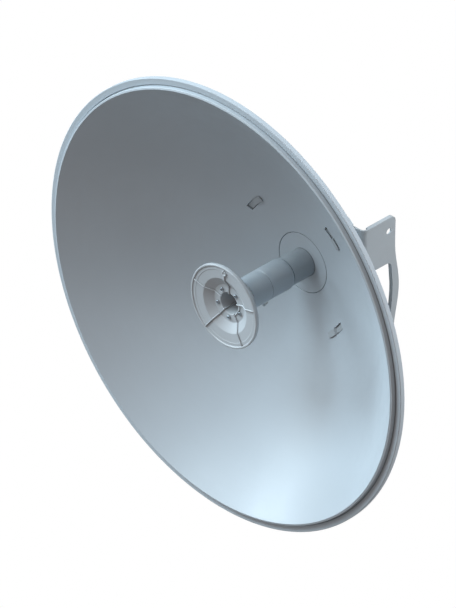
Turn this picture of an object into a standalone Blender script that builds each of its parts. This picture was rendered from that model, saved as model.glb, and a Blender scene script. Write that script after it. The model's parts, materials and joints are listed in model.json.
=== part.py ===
"""Satellite dish, 650 mm class, for a point-to-point radio link.

A deep prime-focus reflector locks by a twist onto four hooks of a pressed
bracket.  A circular waveguide feed with a splash-plate subreflector stands on
the boresight, turns in a cast collar for polarisation, and is held by a lock
ring behind the bracket.  The bracket tilts on a yoke that bolts to the mast
clamp.

Metres, +Z up.  The dish looks along -Y, so front is -Y and rear is +Y.  The
origin is the middle of the yoke's rear face.  All sizes and places below the
two frame points are measured from the reflector vertex.
"""

import math

import bmesh
import bpy
from mathutils import Matrix, Vector

# ------------------------------------------------------------ frame points
VERTEX = Vector((0.0, -0.090, 0.128))     # reflector vertex, on the boresight
TILT_AXIS = Vector((0.0, -0.040, 0.0))    # elevation pivots
PIVOT_Y = TILT_AXIS.y - VERTEX.y
PIVOT_Z = TILT_AXIS.z - VERTEX.z

# ------------------------------------------------------- shared dimensions
GAP = 0.0003              # clearance between neighbouring parts
MERGE = 0.00001           # points closer than this are one point

FOCAL = 0.1496            # focal length of the bowl
SKIN = 0.0016             # reflector sheet

HOOK_R = 0.1015           # middle of the hook straps
HOOK_W = 0.0080
HOOK_T = 0.0020
HOOK_ANGLES = [48 + 90 * k for k in range(4)]

SHEET = 0.0025            # bracket sheet
WEB_Y = 0.0190            # front face of the web
ARM_X = 0.0900            # outside of the arms

SCREW_ANGLES = [45 + 90 * k for k in range(4)]    # collar and cover screws
COLLAR_SCREW_CIRCLE_R = 0.0500

TUBE_R = 0.02035
TUBE_FRONT_Y = -0.1230
SLEEVE_FRONT_Y = -0.1165

YOKE_X = 0.0832           # outside of the yoke's ears
YOKE_T = 0.0030
BOLT_R = 0.0040
LOCK_RADIUS = 0.0260      # lock bolts above the pivots

THROUGH_X = 0.110         # half length of a cutter that crosses the whole width
THROUGH_WEB = (0.010, 0.030)    # y range of a cutter through the web

# ------------------------------------------------------------------- scene
for old in list(bpy.data.objects):
    bpy.data.objects.remove(old, do_unlink=True)

scene = bpy.context.scene
scene.unit_settings.system = "METRIC"
scene.unit_settings.scale_length = 1.0

PARTS = bpy.data.collections.new("satellite_dish")
CUTTERS = bpy.data.collections.new("cutters")
scene.collection.children.link(PARTS)
scene.collection.children.link(CUTTERS)


def material(name, colour, roughness, metallic):
    mat = bpy.data.materials.new(name)
    mat.use_nodes = True
    shader = mat.node_tree.nodes["Principled BSDF"]
    shader.inputs["Base Color"].default_value = (*colour, 1.0)
    shader.inputs["Roughness"].default_value = roughness
    shader.inputs["Metallic"].default_value = metallic
    mat.diffuse_color = (*colour, 1.0)
    return mat


REFLECTOR_PAINT = material(
    "reflector_paint", colour=(0.62, 0.65, 0.67), roughness=0.45, metallic=0.1)
BRACKET_PAINT = material(
    "bracket_paint", colour=(0.50, 0.53, 0.55), roughness=0.50, metallic=0.2)
YOKE_ZINC = material("yoke_zinc", colour=(0.55, 0.56, 0.57), roughness=0.42, metallic=0.9)
FEED_PAINT = material("feed_paint", colour=(0.60, 0.63, 0.65), roughness=0.45, metallic=0.1)
SPLASH_PLASTIC = material(
    "splash_plastic", colour=(0.66, 0.68, 0.70), roughness=0.40, metallic=0.0)
DIELECTRIC = material("dielectric", colour=(0.80, 0.81, 0.80), roughness=0.45, metallic=0.0)
CAST_ALLOY = material("cast_alloy", colour=(0.58, 0.59, 0.60), roughness=0.50, metallic=0.9)
RING_PLASTIC = material("ring_plastic", colour=(0.10, 0.10, 0.11), roughness=0.50, metallic=0.0)
FASTENER = material("fastener_steel", colour=(0.56, 0.56, 0.55), roughness=0.35, metallic=1.0)
SEAL = material("seal_rubber", colour=(0.03, 0.03, 0.03), roughness=0.75, metallic=0.0)
BRASS = material("connector_brass", colour=(0.70, 0.55, 0.30), roughness=0.30, metallic=1.0)
PTFE = material("ptfe", colour=(0.90, 0.90, 0.88), roughness=0.50, metallic=0.0)


def empty(name, location, parent=None):
    obj = bpy.data.objects.new(name, None)
    obj.empty_display_size = 0.03
    PARTS.objects.link(obj)
    obj.location = location
    if parent:
        obj.parent = parent
        obj.location = location - parent.matrix_world.translation
    # Children read this empty's world matrix.
    bpy.context.view_layer.update()
    return obj


MAST_FRAME = empty("mast_frame", Vector((0, 0, 0)))
TILT_PIVOT = empty("tilt_pivot", TILT_AXIS, MAST_FRAME)
REFLECTOR_AXIS = empty("reflector_axis", VERTEX, TILT_PIVOT)
FEED_AXIS = empty("feed_axis", VERTEX, TILT_PIVOT)
RING_AXIS = empty("ring_axis", VERTEX, TILT_PIVOT)


# ----------------------------------------------------- objects and booleans
# Turns that point local +Z along the named direction.
ALONG_Y = (-math.pi / 2, 0.0, 0.0)
ALONG_X = (0.0, math.pi / 2, 0.0)
ALONG_MINUS_X = (0.0, -math.pi / 2, 0.0)


def add(name, mesh, mat, parent, offset=(0, 0, 0), turn=None):
    """Link a part, with its origin at offset."""
    obj = bpy.data.objects.new(name, mesh)
    PARTS.objects.link(obj)
    obj.parent = parent
    obj.location = VERTEX + Vector(offset) - parent.matrix_world.translation
    if turn is not None:
        obj.rotation_euler = turn
    mesh.materials.append(mat)
    return obj


def boolean(obj, operation, mesh, offset=(0, 0, 0), turn=None):
    """Apply a mesh to a part through a hidden helper object."""
    helper = bpy.data.objects.new("cutter", mesh)
    CUTTERS.objects.link(helper)
    helper.location = VERTEX + Vector(offset)
    if turn is not None:
        helper.rotation_euler = turn
    helper.hide_render = True
    helper.display_type = "WIRE"
    mod = obj.modifiers.new(operation.title(), "BOOLEAN")
    mod.operation = operation
    mod.solver = "EXACT"
    mod.object = helper


def drill(obj, name, radius, span, segments, offset=(0, 0, 0), turn=ALONG_Y):
    """Cut a round hole over span, the (low, high) range along its axis."""
    boolean(obj, "DIFFERENCE", cylinder_mesh(name, radius, *span, segments), offset, turn)


# ---------------------------------------------------------------- outlines
def clockwise(points):
    area = 0.0
    for (a, b), (c, d) in zip(points, points[1:] + points[:1]):
        area += a * d - c * b
    return area < 0


def polar(radius, degrees):
    """A point (x, z) around the boresight; 0 is +X and 90 is +Z."""
    angle = math.radians(degrees)
    return radius * math.cos(angle), radius * math.sin(angle)


def arc(centre, radius, start, end, segments):
    """Points of an arc, both ends included; angles in radians."""
    points = []
    for k in range(segments + 1):
        angle = start + (end - start) * k / segments
        points.append((centre[0] + radius * math.cos(angle), centre[1] + radius * math.sin(angle)))
    return points


def rounded(points, segments):
    """Round the corners of a closed outline: (x, y, radius) triples."""
    out = []
    for i, (x, y, radius) in enumerate(points):
        if radius <= 0:
            out.append((x, y))
            continue
        here = Vector((x, y))
        before = Vector(points[i - 1][:2]) - here
        after = Vector(points[(i + 1) % len(points)][:2]) - here
        angle = before.angle(after)
        trim = radius / math.tan(angle / 2)
        start = here + before.normalized() * trim
        end = here + after.normalized() * trim
        middle = (before.normalized() + after.normalized()).normalized()
        centre = here + middle * (radius / math.sin(angle / 2))
        start_angle = math.atan2(*(start - centre).yx)
        end_angle = math.atan2(*(end - centre).yx)
        # Take the short way round.
        while end_angle - start_angle > math.pi:
            end_angle -= 2 * math.pi
        while end_angle - start_angle < -math.pi:
            end_angle += 2 * math.pi
        out += arc(centre, radius, start_angle, end_angle, segments)
    return out


def offset_outline(points, distance):
    """Move a closed outline outwards by distance, or inwards if negative."""
    if clockwise(points):
        points = points[::-1]
    out = []
    count = len(points)
    for i in range(count):
        last, here, following = (Vector(points[j % count]) for j in (i - 1, i, i + 1))
        edge_in = (here - last).normalized()
        edge_out = (following - here).normalized()
        normal_in = Vector((edge_in.y, -edge_in.x))
        normal_out = Vector((edge_out.y, -edge_out.x))
        normal = (normal_in + normal_out).normalized()
        # The floor keeps very sharp corners from shooting away.
        out.append(tuple(here + normal * (distance / max(normal.dot(normal_in), 0.3))))
    return out


def rectangle(inner, outer, front, rear):
    """Corners (radius, y) of one station of a sweep."""
    return [(inner, front), (outer, front), (outer, rear), (inner, rear)]


# ------------------------------------------------------------------ meshes
def mesh_from_bmesh(name, bm):
    mesh = bpy.data.meshes.new(name)
    bm.to_mesh(mesh)
    bm.free()
    return mesh


def turned(name, points, steps, mat, parent, offset=(0, 0, 0), turn=ALONG_Y):
    """A turned part from (radius, height) points; height runs along turn.

    A profile that starts and ends on the axis is left open there.
    """
    edges = [(i, i + 1) for i in range(len(points) - 1)]
    if points[0][0] > MERGE or points[-1][0] > MERGE:
        edges.append((len(points) - 1, 0))
    if not clockwise(points):
        points = points[::-1]
    mesh = bpy.data.meshes.new(name)
    mesh.from_pydata([(radius, 0.0, height) for radius, height in points], edges, [])
    obj = add(name, mesh, mat, parent, offset, turn)
    mod = obj.modifiers.new("Turn", "SCREW")
    mod.axis = "Z"
    mod.angle = 2 * math.pi
    mod.steps = steps
    mod.render_steps = steps
    mod.use_merge_vertices = True
    mod.merge_threshold = MERGE
    mod.use_smooth_shade = True
    return obj


def cylinder_mesh(name, radius, low, high, segments):
    bm = bmesh.new()
    bmesh.ops.create_cone(
        bm, cap_ends=True, segments=segments, radius1=radius, radius2=radius, depth=high - low,
        matrix=Matrix.Translation((0, 0, (low + high) / 2)),
    )
    return mesh_from_bmesh(name, bm)


def box_mesh(name, low, high):
    low, high = Vector(low), Vector(high)
    bm = bmesh.new()
    bmesh.ops.create_cube(
        bm, size=1.0,
        matrix=Matrix.Translation((low + high) / 2) @ Matrix.Diagonal((*(high - low), 1.0)),
    )
    return mesh_from_bmesh(name, bm)


# Outline (x, y) to part (Y, Z), thickness along X.
IN_YZ = Matrix(((0, 0, 1, 0), (1, 0, 0, 0), (0, 1, 0, 0), (0, 0, 0, 1)))
# Outline (x, y) to part (X, Y), thickness along Z.
IN_XY = Matrix.Identity(4)


def plate_mesh(name, outlines, low, high, basis):
    """A flat plate from closed outlines (the later ones are holes).

    basis turns the outline's x, y and thickness into the part's axes.
    """
    curve = bpy.data.curves.new(name, "CURVE")
    curve.dimensions = "2D"
    curve.fill_mode = "BOTH"
    curve.extrude = (high - low) / 2
    for outline in outlines:
        spline = curve.splines.new("POLY")
        spline.points.add(len(outline) - 1)
        for point, (x, y) in zip(spline.points, outline):
            point.co = (x, y, 0.0, 1.0)
        spline.use_cyclic_u = True
    holder = bpy.data.objects.new(name, curve)
    CUTTERS.objects.link(holder)
    bpy.context.view_layer.update()
    graph = bpy.context.evaluated_depsgraph_get()
    mesh = bpy.data.meshes.new_from_object(holder.evaluated_get(graph))
    mesh.name = name
    bpy.data.objects.remove(holder, do_unlink=True)
    bpy.data.curves.remove(curve)
    # Weld the caps to the walls and move the plate to its place.
    bm = bmesh.new()
    bm.from_mesh(mesh)
    bmesh.ops.remove_doubles(bm, verts=bm.verts, dist=MERGE)
    bmesh.ops.transform(
        bm, matrix=basis @ Matrix.Translation((0, 0, (low + high) / 2)), verts=bm.verts
    )
    bmesh.ops.recalc_face_normals(bm, faces=bm.faces)
    bm.to_mesh(mesh)
    bm.free()
    return mesh


def loft_mesh(name, sections):
    """A solid through sections, each a ring of the same number of points."""
    bm = bmesh.new()
    rings = [[bm.verts.new(point) for point in section] for section in sections]
    for ring, following in zip(rings, rings[1:]):
        for i in range(len(ring)):
            j = (i + 1) % len(ring)
            bm.faces.new((ring[i], ring[j], following[j], following[i]))
    bm.faces.new(rings[0][::-1])
    bm.faces.new(rings[-1])
    bmesh.ops.recalc_face_normals(bm, faces=bm.faces)
    return mesh_from_bmesh(name, bm)


def sweep_mesh(name, stations):
    """A strip about the boresight: each station is (degrees, [(radius, y), ...])."""
    sections = []
    for degrees, corners in stations:
        section = []
        for radius, y in corners:
            x, z = polar(radius, degrees)
            section.append((x, y, z))
        sections.append(section)
    return loft_mesh(name, sections)


def rib_mesh(name, degrees, width, stations):
    """A thin rib along one radius: stations are (radius, front y, rear y)."""
    angle = math.radians(degrees)
    out = Vector((math.cos(angle), 0.0, math.sin(angle)))
    side = Vector((-math.sin(angle), 0.0, math.cos(angle))) * (width / 2)
    sections = []
    for radius, front, rear in stations:
        section = []
        for sign, y in ((-1, front), (1, front), (1, rear), (-1, rear)):
            point = out * radius + side * sign
            section.append((point.x, y, point.z))
        sections.append(section)
    return loft_mesh(name, sections)


# --------------------------------------------------------------- reflector
RIM_R = 0.3250            # outside of the rim skirt, so 650 mm across
BOWL_R = 0.3097           # edge of the parabolic bowl
FLANGE_Y = -0.1563        # front face of the rim flange
REFLECTOR_HOLE_R = 0.0441
BOWL_RINGS = 5            # rings between the hooks and the bowl's edge
HOOK_RING_MARGIN = 0.0065    # profile rings this far inside and outside HOOK_R

# Rim sections from the bowl out to the end of the skirt: (radius, y from FLANGE_Y).
RIM_FRONT = [
    (0.3130, -0.0053), (0.3153, -0.0044), (0.3165, 0.0), (0.3226, 0.0),
    (0.3243, 0.0007), (RIM_R, 0.0024), (RIM_R, 0.0075),
]
RIM_REAR = [
    (0.3133, -0.0036), (0.3149, SKIN), (0.3222, SKIN),
    (RIM_R - SKIN, 0.0028), (RIM_R - SKIN, 0.0075),
]

SLOT_SPAN = (-1.0, 10.0)  # degrees from the hook's middle
SLOT_MARGIN = 0.0009      # slot wider than the hook, on each side
SLOT_CUT_Y = (-0.040, 0.005)


def bowl_y(radius):
    """Front face of the bowl."""
    return -radius * radius / (4 * FOCAL)


def bowl_rear(radius):
    """The point of the bowl's rear face, square behind the front point at radius."""
    slope = radius / (2 * FOCAL)
    length = math.hypot(1.0, slope)
    return radius + SKIN * slope / length, bowl_y(radius) + SKIN / length


def reflector_profile():
    # Rings close on both sides of the hooks keep the facets true to the bowl there.
    inner, outer = HOOK_R - HOOK_RING_MARGIN, HOOK_R + HOOK_RING_MARGIN
    radii = [REFLECTOR_HOLE_R, (REFLECTOR_HOLE_R + inner) / 2, inner, outer]
    radii += [outer + (BOWL_R - outer) * k / BOWL_RINGS for k in range(1, BOWL_RINGS + 1)]
    front = [(radius, bowl_y(radius)) for radius in radii]
    front += [(radius, FLANGE_Y + y) for radius, y in RIM_FRONT]
    rear = [(REFLECTOR_HOLE_R, bowl_y(REFLECTOR_HOLE_R) + SKIN)]
    rear += [bowl_rear(radius) for radius in radii[1:]]
    rear += [(radius, FLANGE_Y + y) for radius, y in RIM_REAR]
    return front + rear[::-1]


def build_reflector():
    reflector = turned("reflector", reflector_profile(), 52, REFLECTOR_PAINT, REFLECTOR_AXIS)
    # Each slot lets one hook through when the reflector is turned to its stop.
    reach = HOOK_W / 2 + SLOT_MARGIN
    corners = rectangle(HOOK_R - reach, HOOK_R + reach, *SLOT_CUT_Y)
    low, high = SLOT_SPAN
    for middle in HOOK_ANGLES:
        stations = [(middle + low + (high - low) * i / 4, corners) for i in range(5)]
        boolean(reflector, "DIFFERENCE", sweep_mesh("hook_slot", stations))


# ----------------------------------------------------------- bracket hooks
HOOK_GAP = GAP * 1.3      # between a hook and the reflector skin
LEG_R = (HOOK_R - 0.0002, HOOK_R + 0.0023)
TAB_R = (0.0800, 0.1062)
TAB_INSET = 0.0001        # tab faces inside the faces of the web
SEAT_R = (0.0895, 0.1015, 0.1135)    # inner, middle and outer radius
SEAT_GAP = 0.0006         # behind the sunk half strap
SEAT_T = 0.0020

# Strap stations: (degrees from the hook's middle, 1 raised or 0 sunk).
STRAP_STATIONS = [(-9.1, 1.0), (-4.8, 1.0), (-0.55, 1.0), (0.60, 0.0), (5.0, 0.0), (9.2, 0.0)]
# Stations of the other pieces, in degrees from the hook's middle.
LEG_DEGREES = (1.2, 5.0, 8.8)
TAB_DEGREES = (0.6, 5.0, 9.2)
SEAT_DEGREES = (-6.0, 0.0, 5.0, 10.0, 14.5)


def raised_y(radius):
    """Front face of the half strap in front of the reflector skin."""
    return bowl_y(radius) - HOOK_GAP - HOOK_T


def sunk_y(radius):
    """Front face of the half strap behind the reflector skin."""
    skin_depth = SKIN * math.hypot(1.0, radius / (2 * FOCAL))
    return bowl_y(radius) + skin_depth + HOOK_GAP


def hook_strap(middle):
    """Strap: raised on its clockwise half seen from the front, sunk on the other."""
    inner, outer = HOOK_R - HOOK_W / 2, HOOK_R + HOOK_W / 2
    stations = []
    for degrees, lift in STRAP_STATIONS:
        corners = []
        for radius, rear in ((inner, 0), (outer, 0), (outer, 1), (inner, 1)):
            y = lift * raised_y(radius) + (1 - lift) * sunk_y(radius)
            corners.append((radius, y + rear * HOOK_T))
        stations.append((middle + degrees, corners))
    return sweep_mesh("hook_strap", stations)


def hook_leg(middle):
    """Leg from the tab to the sunk half strap, ending inside both."""
    corners = rectangle(*LEG_R, sunk_y(HOOK_R) + HOOK_T * 0.5, WEB_Y + SHEET * 0.6)
    return sweep_mesh("hook_leg", [(middle + degrees, corners) for degrees in LEG_DEGREES])


def hook_tab(middle):
    """Corner tab that carries the leg, in the plane of the web."""
    corners = rectangle(*TAB_R, WEB_Y + TAB_INSET, WEB_Y + SHEET - TAB_INSET)
    return sweep_mesh("hook_tab", [(middle + degrees, corners) for degrees in TAB_DEGREES])


def hook_seat(middle):
    """Seat plate on the leg, close behind the reflector's rear face."""
    front = [(radius, sunk_y(radius) + HOOK_T + SEAT_GAP) for radius in SEAT_R]
    corners = front + [(radius, y + SEAT_T) for radius, y in front[::-1]]
    return sweep_mesh("hook_seat", [(middle + degrees, corners) for degrees in SEAT_DEGREES])


# ----------------------------------------------------------------- bracket
ARM_EDGE = 0.0060         # width across X of the flanged arm edges
ARM_REAR_Y = 0.0800
ARM_TOP_Z = 0.0787
ARM_BOTTOM_Z = -0.1510
BULGE = 0.0087            # swell of the rear edge between these two heights
BULGE_TOP_Z = 0.0360
BULGE_BOTTOM_Z = -0.1080
WEB_BOTTOM_Z = -0.0850
WEB_HOLE_R = 0.0418
BEND_R = 0.0080           # outside radius between web and arms
FLANGE_START_Y = 0.0291
CHANNEL_REAR_Y = 0.0950   # before the arm outline trims it
ARM_CUT_Y = WEB_Y - 0.004    # front of the arm outline, ahead of the web
POCKET_FRONT_Y = 0.0277   # between the bend and the flanges
POCKET_SPLIT_Y = 0.040    # pocket points ahead of this go to POCKET_FRONT_Y
BOLT_HOLE_R = BOLT_R + 0.0003

# Holes through both arms: (y, z, radius).
ARM_HOLES = [
    (0.0675, 0.0580, 0.0045),
    (PIVOT_Y, PIVOT_Z, BOLT_HOLE_R),
    (PIVOT_Y, PIVOT_Z + LOCK_RADIUS, BOLT_HOLE_R),
]

# Side view of the opening through each arm: (y, z, corner radius).
WINDOW_CORNERS = [
    (0.0310, 0.0080, 0.0090), (0.0730, 0.0080, 0.0100), (0.0765, -0.0300, 0.0),
    (0.0765, -0.0430, 0.0), (0.0735, -0.0810, 0.0090), (0.0310, -0.0810, 0.0090),
]


def arm_outline():
    """Side view of an arm in (y, z): rounded top, bulged rear edge."""
    corners = [
        (ARM_CUT_Y, ARM_TOP_Z, 0.0),
        (ARM_REAR_Y, ARM_TOP_Z, 0.0080),
        (ARM_REAR_Y, BULGE_TOP_Z, 0.0),
    ]
    for k in range(1, 8):
        t = k / 8
        swell = BULGE * math.sin(math.pi * t) ** 2
        corners.append((ARM_REAR_Y + swell, BULGE_TOP_Z - (BULGE_TOP_Z - BULGE_BOTTOM_Z) * t, 0.0))
    corners += [
        (ARM_REAR_Y, BULGE_BOTTOM_Z, 0.0),
        (ARM_REAR_Y, ARM_BOTTOM_Z, 0.0100),
        (0.0300, ARM_BOTTOM_Z, 0.0100),
        (0.0260, -0.1100, 0.0060),
        (ARM_CUT_Y, WEB_BOTTOM_Z, 0.0),
    ]
    return rounded(corners, 3)


def channel_outline():
    """Plan view of web and arms in (x, y); the arms are ARM_EDGE thick."""
    centre = (ARM_X - BEND_R, WEB_Y + BEND_R)
    right = arc(centre, BEND_R, -math.pi / 2, 0.0, 4)
    right += [
        (ARM_X, CHANNEL_REAR_Y), (ARM_X - ARM_EDGE, CHANNEL_REAR_Y),
        (ARM_X - ARM_EDGE, FLANGE_START_Y), (ARM_X - SHEET, FLANGE_START_Y),
    ]
    right += arc(centre, BEND_R - SHEET, 0.0, -math.pi / 2, 4)
    return right + [(-x, y) for x, y in right[::-1]]


def hollow_arms(bracket, window):
    """Thin the arms to sheet from inside, leaving edges and a window surround."""
    pocket = offset_outline(arm_outline(), -SHEET)
    # The pocket's front edge is moved so the bend stays whole.
    pocket = [(y if y > POCKET_SPLIT_Y else POCKET_FRONT_Y, z) for y, z in pocket]
    surround = offset_outline(window, SHEET)
    for side in (-1, 1):
        low, high = sorted((side * (ARM_X - SHEET), side * (ARM_X - ARM_EDGE - 0.004)))
        boolean(
            bracket, "DIFFERENCE",
            plate_mesh("arm_pocket", [pocket, surround], low, high, IN_YZ),
        )


def build_bracket():
    bracket = add(
        "rear_bracket",
        plate_mesh("rear_bracket", [channel_outline()], -0.160, 0.0812, IN_XY),
        BRACKET_PAINT, TILT_PIVOT,
    )
    arm_side = plate_mesh("arm_side", [arm_outline()], -0.100, 0.100, IN_YZ)
    boolean(bracket, "INTERSECT", arm_side)
    # Between the arms, the web is cut off at its lower edge.
    web_x = ARM_X - BEND_R
    web_foot = box_mesh("web_foot", (-web_x, 0.010, -0.200), (web_x, 0.0260, WEB_BOTTOM_Z))
    boolean(bracket, "DIFFERENCE", web_foot)
    window = rounded(WINDOW_CORNERS, 3)
    hollow_arms(bracket, window)
    boolean(
        bracket, "DIFFERENCE", plate_mesh("window", [window], -THROUGH_X, THROUGH_X, IN_YZ)
    )
    drill(bracket, "web_bore", WEB_HOLE_R, THROUGH_WEB, 48)
    for degrees in SCREW_ANGLES:
        x, z = polar(COLLAR_SCREW_CIRCLE_R, degrees)
        drill(bracket, "screw_hole", 0.0023, THROUGH_WEB, 12, (x, 0, z))
    for y, z, radius in ARM_HOLES:
        drill(bracket, "arm_hole", radius, (-THROUGH_X, THROUGH_X), 20, (0, y, z), ALONG_X)
    for middle in HOOK_ANGLES:
        for hook_piece in (hook_seat, hook_tab, hook_leg, hook_strap):
            boolean(bracket, "UNION", hook_piece(middle))


# --------------------------------------------------- feed collar and ring
COLLAR_BORE_R = 0.0368
COLLAR_R = 0.0415
COLLAR_REAR_Y = 0.0385
COLLAR_FLANGE_R = 0.0560
COLLAR_STEP_R = 0.0470
RING_BORE_R = COLLAR_R + 0.0004


def build_collar():
    """Cast collar: its flange sits on the web, its neck passes through."""
    profile = [
        (COLLAR_BORE_R, 0.0040), (COLLAR_R, 0.0040), (COLLAR_R + 0.0030, 0.0080),
        (COLLAR_STEP_R, 0.0080), (COLLAR_STEP_R, -0.0012),
        (COLLAR_FLANGE_R, -0.0030), (COLLAR_FLANGE_R, WEB_Y - GAP),
        (COLLAR_R, WEB_Y - GAP), (COLLAR_R, COLLAR_REAR_Y), (COLLAR_BORE_R, COLLAR_REAR_Y),
    ]
    collar = turned("feed_collar", profile, 32, CAST_ALLOY, TILT_PIVOT)
    seat = WEB_Y + SHEET + GAP
    screw_profile = [
        (0.0, 0.0250), (0.0028, 0.0246), (0.0038, 0.0232), (0.0038, seat),
        (0.0019, seat), (0.0019, 0.0100), (0.0, 0.0100),
    ]
    for k, degrees in enumerate(SCREW_ANGLES):
        x, z = polar(COLLAR_SCREW_CIRCLE_R, degrees)
        drill(collar, "screw_bore", 0.0022, (0.0090, 0.030), 12, (x, 0, z))
        turned(f"collar_screw_{k + 1}", screw_profile, 12, FASTENER, TILT_PIVOT, (x, 0, z))


def build_lock_ring():
    """Ring behind the bracket, with six grip lugs."""
    profile = [
        (RING_BORE_R, 0.0270), (0.0480, 0.0270), (0.0495, 0.0285), (0.0495, 0.0410),
        (0.0480, 0.0425), (0.0366, 0.0425), (0.0366, 0.0390), (RING_BORE_R, 0.0390),
    ]
    ring = turned("feed_lock_ring", profile, 32, RING_PLASTIC, RING_AXIS)
    for k in range(6):
        x, z = polar(0.0485, 60 * k)
        lug = cylinder_mesh("grip_lug", 0.0048, 0.0290, 0.0405, 10)
        boolean(ring, "UNION", lug, (x, 0, z), ALONG_Y)


# -------------------------------------------------------------- feed tube
BASE_DISC_R = 0.0438
BASE_DISC_REAR_Y = 0.0022
TUBE_BORE_R = 0.0185
TUBE_REAR_Y = 0.0300
ON_TUBE_R = TUBE_R + GAP  # bore of the parts around the tube
SLEEVE_R = 0.0222
SLEEVE_REAR_Y = -0.0405
SLEEVE_JOINT_Y = -0.0815


def build_feed_base():
    """Disc that closes the reflector's hole, and the gasket behind it."""
    profile = [(ON_TUBE_R, bowl_y(TUBE_R) - 0.0004)]
    profile += [(radius, bowl_y(radius)) for radius in (0.0270, 0.0350, BASE_DISC_R)]
    profile += [(BASE_DISC_R, BASE_DISC_REAR_Y), (ON_TUBE_R, BASE_DISC_REAR_Y)]
    turned("feed_base_disc", profile, 40, FEED_PAINT, FEED_AXIS)
    front = BASE_DISC_REAR_Y + GAP
    gasket = rectangle(0.0385, 0.0410, front, front + 0.0012)
    turned("base_gasket", gasket, 24, SEAL, FEED_AXIS)


def build_tube():
    """Waveguide tube in a sleeve of two lengths."""
    tube = rectangle(TUBE_BORE_R, TUBE_R, TUBE_FRONT_Y, TUBE_REAR_Y)
    turned("waveguide_tube", tube, 32, FEED_PAINT, FEED_AXIS)
    rear = [
        (ON_TUBE_R, SLEEVE_JOINT_Y + GAP / 2), (SLEEVE_R, SLEEVE_JOINT_Y + GAP / 2),
        (SLEEVE_R, SLEEVE_REAR_Y - 0.0035), (TUBE_R + 0.0007, SLEEVE_REAR_Y),
        (ON_TUBE_R, SLEEVE_REAR_Y),
    ]
    turned("feed_sleeve_rear", rear, 32, FEED_PAINT, FEED_AXIS)
    front = rectangle(ON_TUBE_R, SLEEVE_R, SLEEVE_FRONT_Y, SLEEVE_JOINT_Y - GAP / 2)
    turned("feed_sleeve_front", front, 32, FEED_PAINT, FEED_AXIS)


# ------------------------------------------------------------ subreflector
SUB_R = 0.0612
SUB_FACE_Y = -0.1533      # rim plane of the subreflector, its foremost plane
RECESS = 0.0112           # flat floor around the cup, behind the rim plane
CUP_DEPTH = 0.0345
CUP_R = 0.0160
CUP_LIP_R = 0.0168        # outer edge of the chamfer round the cup
PLUG_DEPTH = 0.0363       # rear end of the plug that stands in the tube

SUB_SCREW_CIRCLE_R = 0.0212
SUB_SCREW_ANGLES = [54 + 72 * k for k in range(5)]
SUB_RIB_ANGLES = [90 + 72 * k for k in range(5)]

# Front face from the cup out to the rim: (radius, depth behind the rim plane).
SUB_FRONT = [
    (CUP_R, CUP_DEPTH), (CUP_R, RECESS + 0.0010), (CUP_LIP_R, RECESS), (0.0278, RECESS),
    (0.0400, 0.0034), (0.0405, 0.0026), (0.0525, 0.0019), (0.0531, 0.0014),
    (0.0578, 0.0014), (0.0586, 0.0003), (0.0598, 0.0), (0.0609, 0.0008), (SUB_R, 0.0024),
]
# Rear face from the rim in to the plug, in the same columns.
SUB_REAR = [
    (SUB_R, 0.0064), (0.0590, 0.0084), (0.0420, 0.0100), (0.0290, 0.0134), (0.0190, 0.0148),
    (0.0190, 0.0290), (0.0181, 0.0290), (0.0181, PLUG_DEPTH), (0.0, PLUG_DEPTH),
]

RIB_RADII = (0.0150, 0.0270, 0.0285, 0.0395, 0.0410, 0.0522, 0.0535, 0.0576)
RIB_HALF_DEPTH = 0.0012

# Lip round the right of the cup: (degrees, middle radius).
LIP_STATIONS = [
    (-54, 0.0174), (-34, 0.0174), (-15, 0.0176), (-6, 0.0190), (4, 0.0200), (18, 0.0200),
]
LIP_HALF_WIDTH = 0.0006
BOSS_PLACE = (0.0005, 0, 0.0518)


def face_depth(radius):
    """Depth of the front face, from the recess out."""
    if radius < CUP_LIP_R:
        return RECESS
    for (r0, d0), (r1, d1) in zip(SUB_FRONT[2:], SUB_FRONT[3:]):
        if r0 <= radius <= r1:
            return d0 + (d1 - d0) * (radius - r0) / (r1 - r0)


def add_ribs(sub):
    # Five ribs run from the bead in to the cup and end just over its edge.
    stations = []
    for radius in RIB_RADII:
        y = SUB_FACE_Y + face_depth(radius)
        stations.append((radius, y - RIB_HALF_DEPTH, y + RIB_HALF_DEPTH))
    for degrees in SUB_RIB_ANGLES:
        boolean(sub, "UNION", rib_mesh("rib", degrees, 0.0020, stations))
    # The lower left rib, seen from the front, goes on down the wall of the cup.
    front, rear = SUB_FACE_Y + RECESS - 0.0011, SUB_FACE_Y + CUP_DEPTH + 0.0006
    wall_stations = [(radius, front, rear) for radius in (0.0151, 0.0172)]
    boolean(sub, "UNION", rib_mesh("rib", SUB_RIB_ANGLES[2], 0.0019, wall_stations))


def add_lip(sub):
    """A low lip joins the inner ends of the two ribs on the right."""
    floor = SUB_FACE_Y + RECESS
    stations = []
    for degrees, radius in LIP_STATIONS:
        inner, outer = radius - LIP_HALF_WIDTH, radius + LIP_HALF_WIDTH
        stations.append((degrees, rectangle(inner, outer, floor - 0.0010, floor + 0.0008)))
    boolean(sub, "UNION", sweep_mesh("cup_lip", stations))


def build_subreflector():
    profile = [
        (radius, SUB_FACE_Y + depth)
        for radius, depth in [(0.0, CUP_DEPTH)] + SUB_FRONT + SUB_REAR
    ]
    sub = turned("subreflector", profile, 32, SPLASH_PLASTIC, FEED_AXIS)
    add_ribs(sub)
    add_lip(sub)
    # A round boss with a dimple stands near the outer end of the top rib.
    boss = cylinder_mesh("rib_boss", 0.0042, SUB_FACE_Y + 0.0007, SUB_FACE_Y + 0.0040, 16)
    boolean(sub, "UNION", boss, BOSS_PLACE, ALONG_Y)
    dimple_span = (SUB_FACE_Y - 0.0030, SUB_FACE_Y + 0.0014)
    drill(sub, "boss_dimple", 0.0020, dimple_span, 12, BOSS_PLACE)
    return sub


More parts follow.
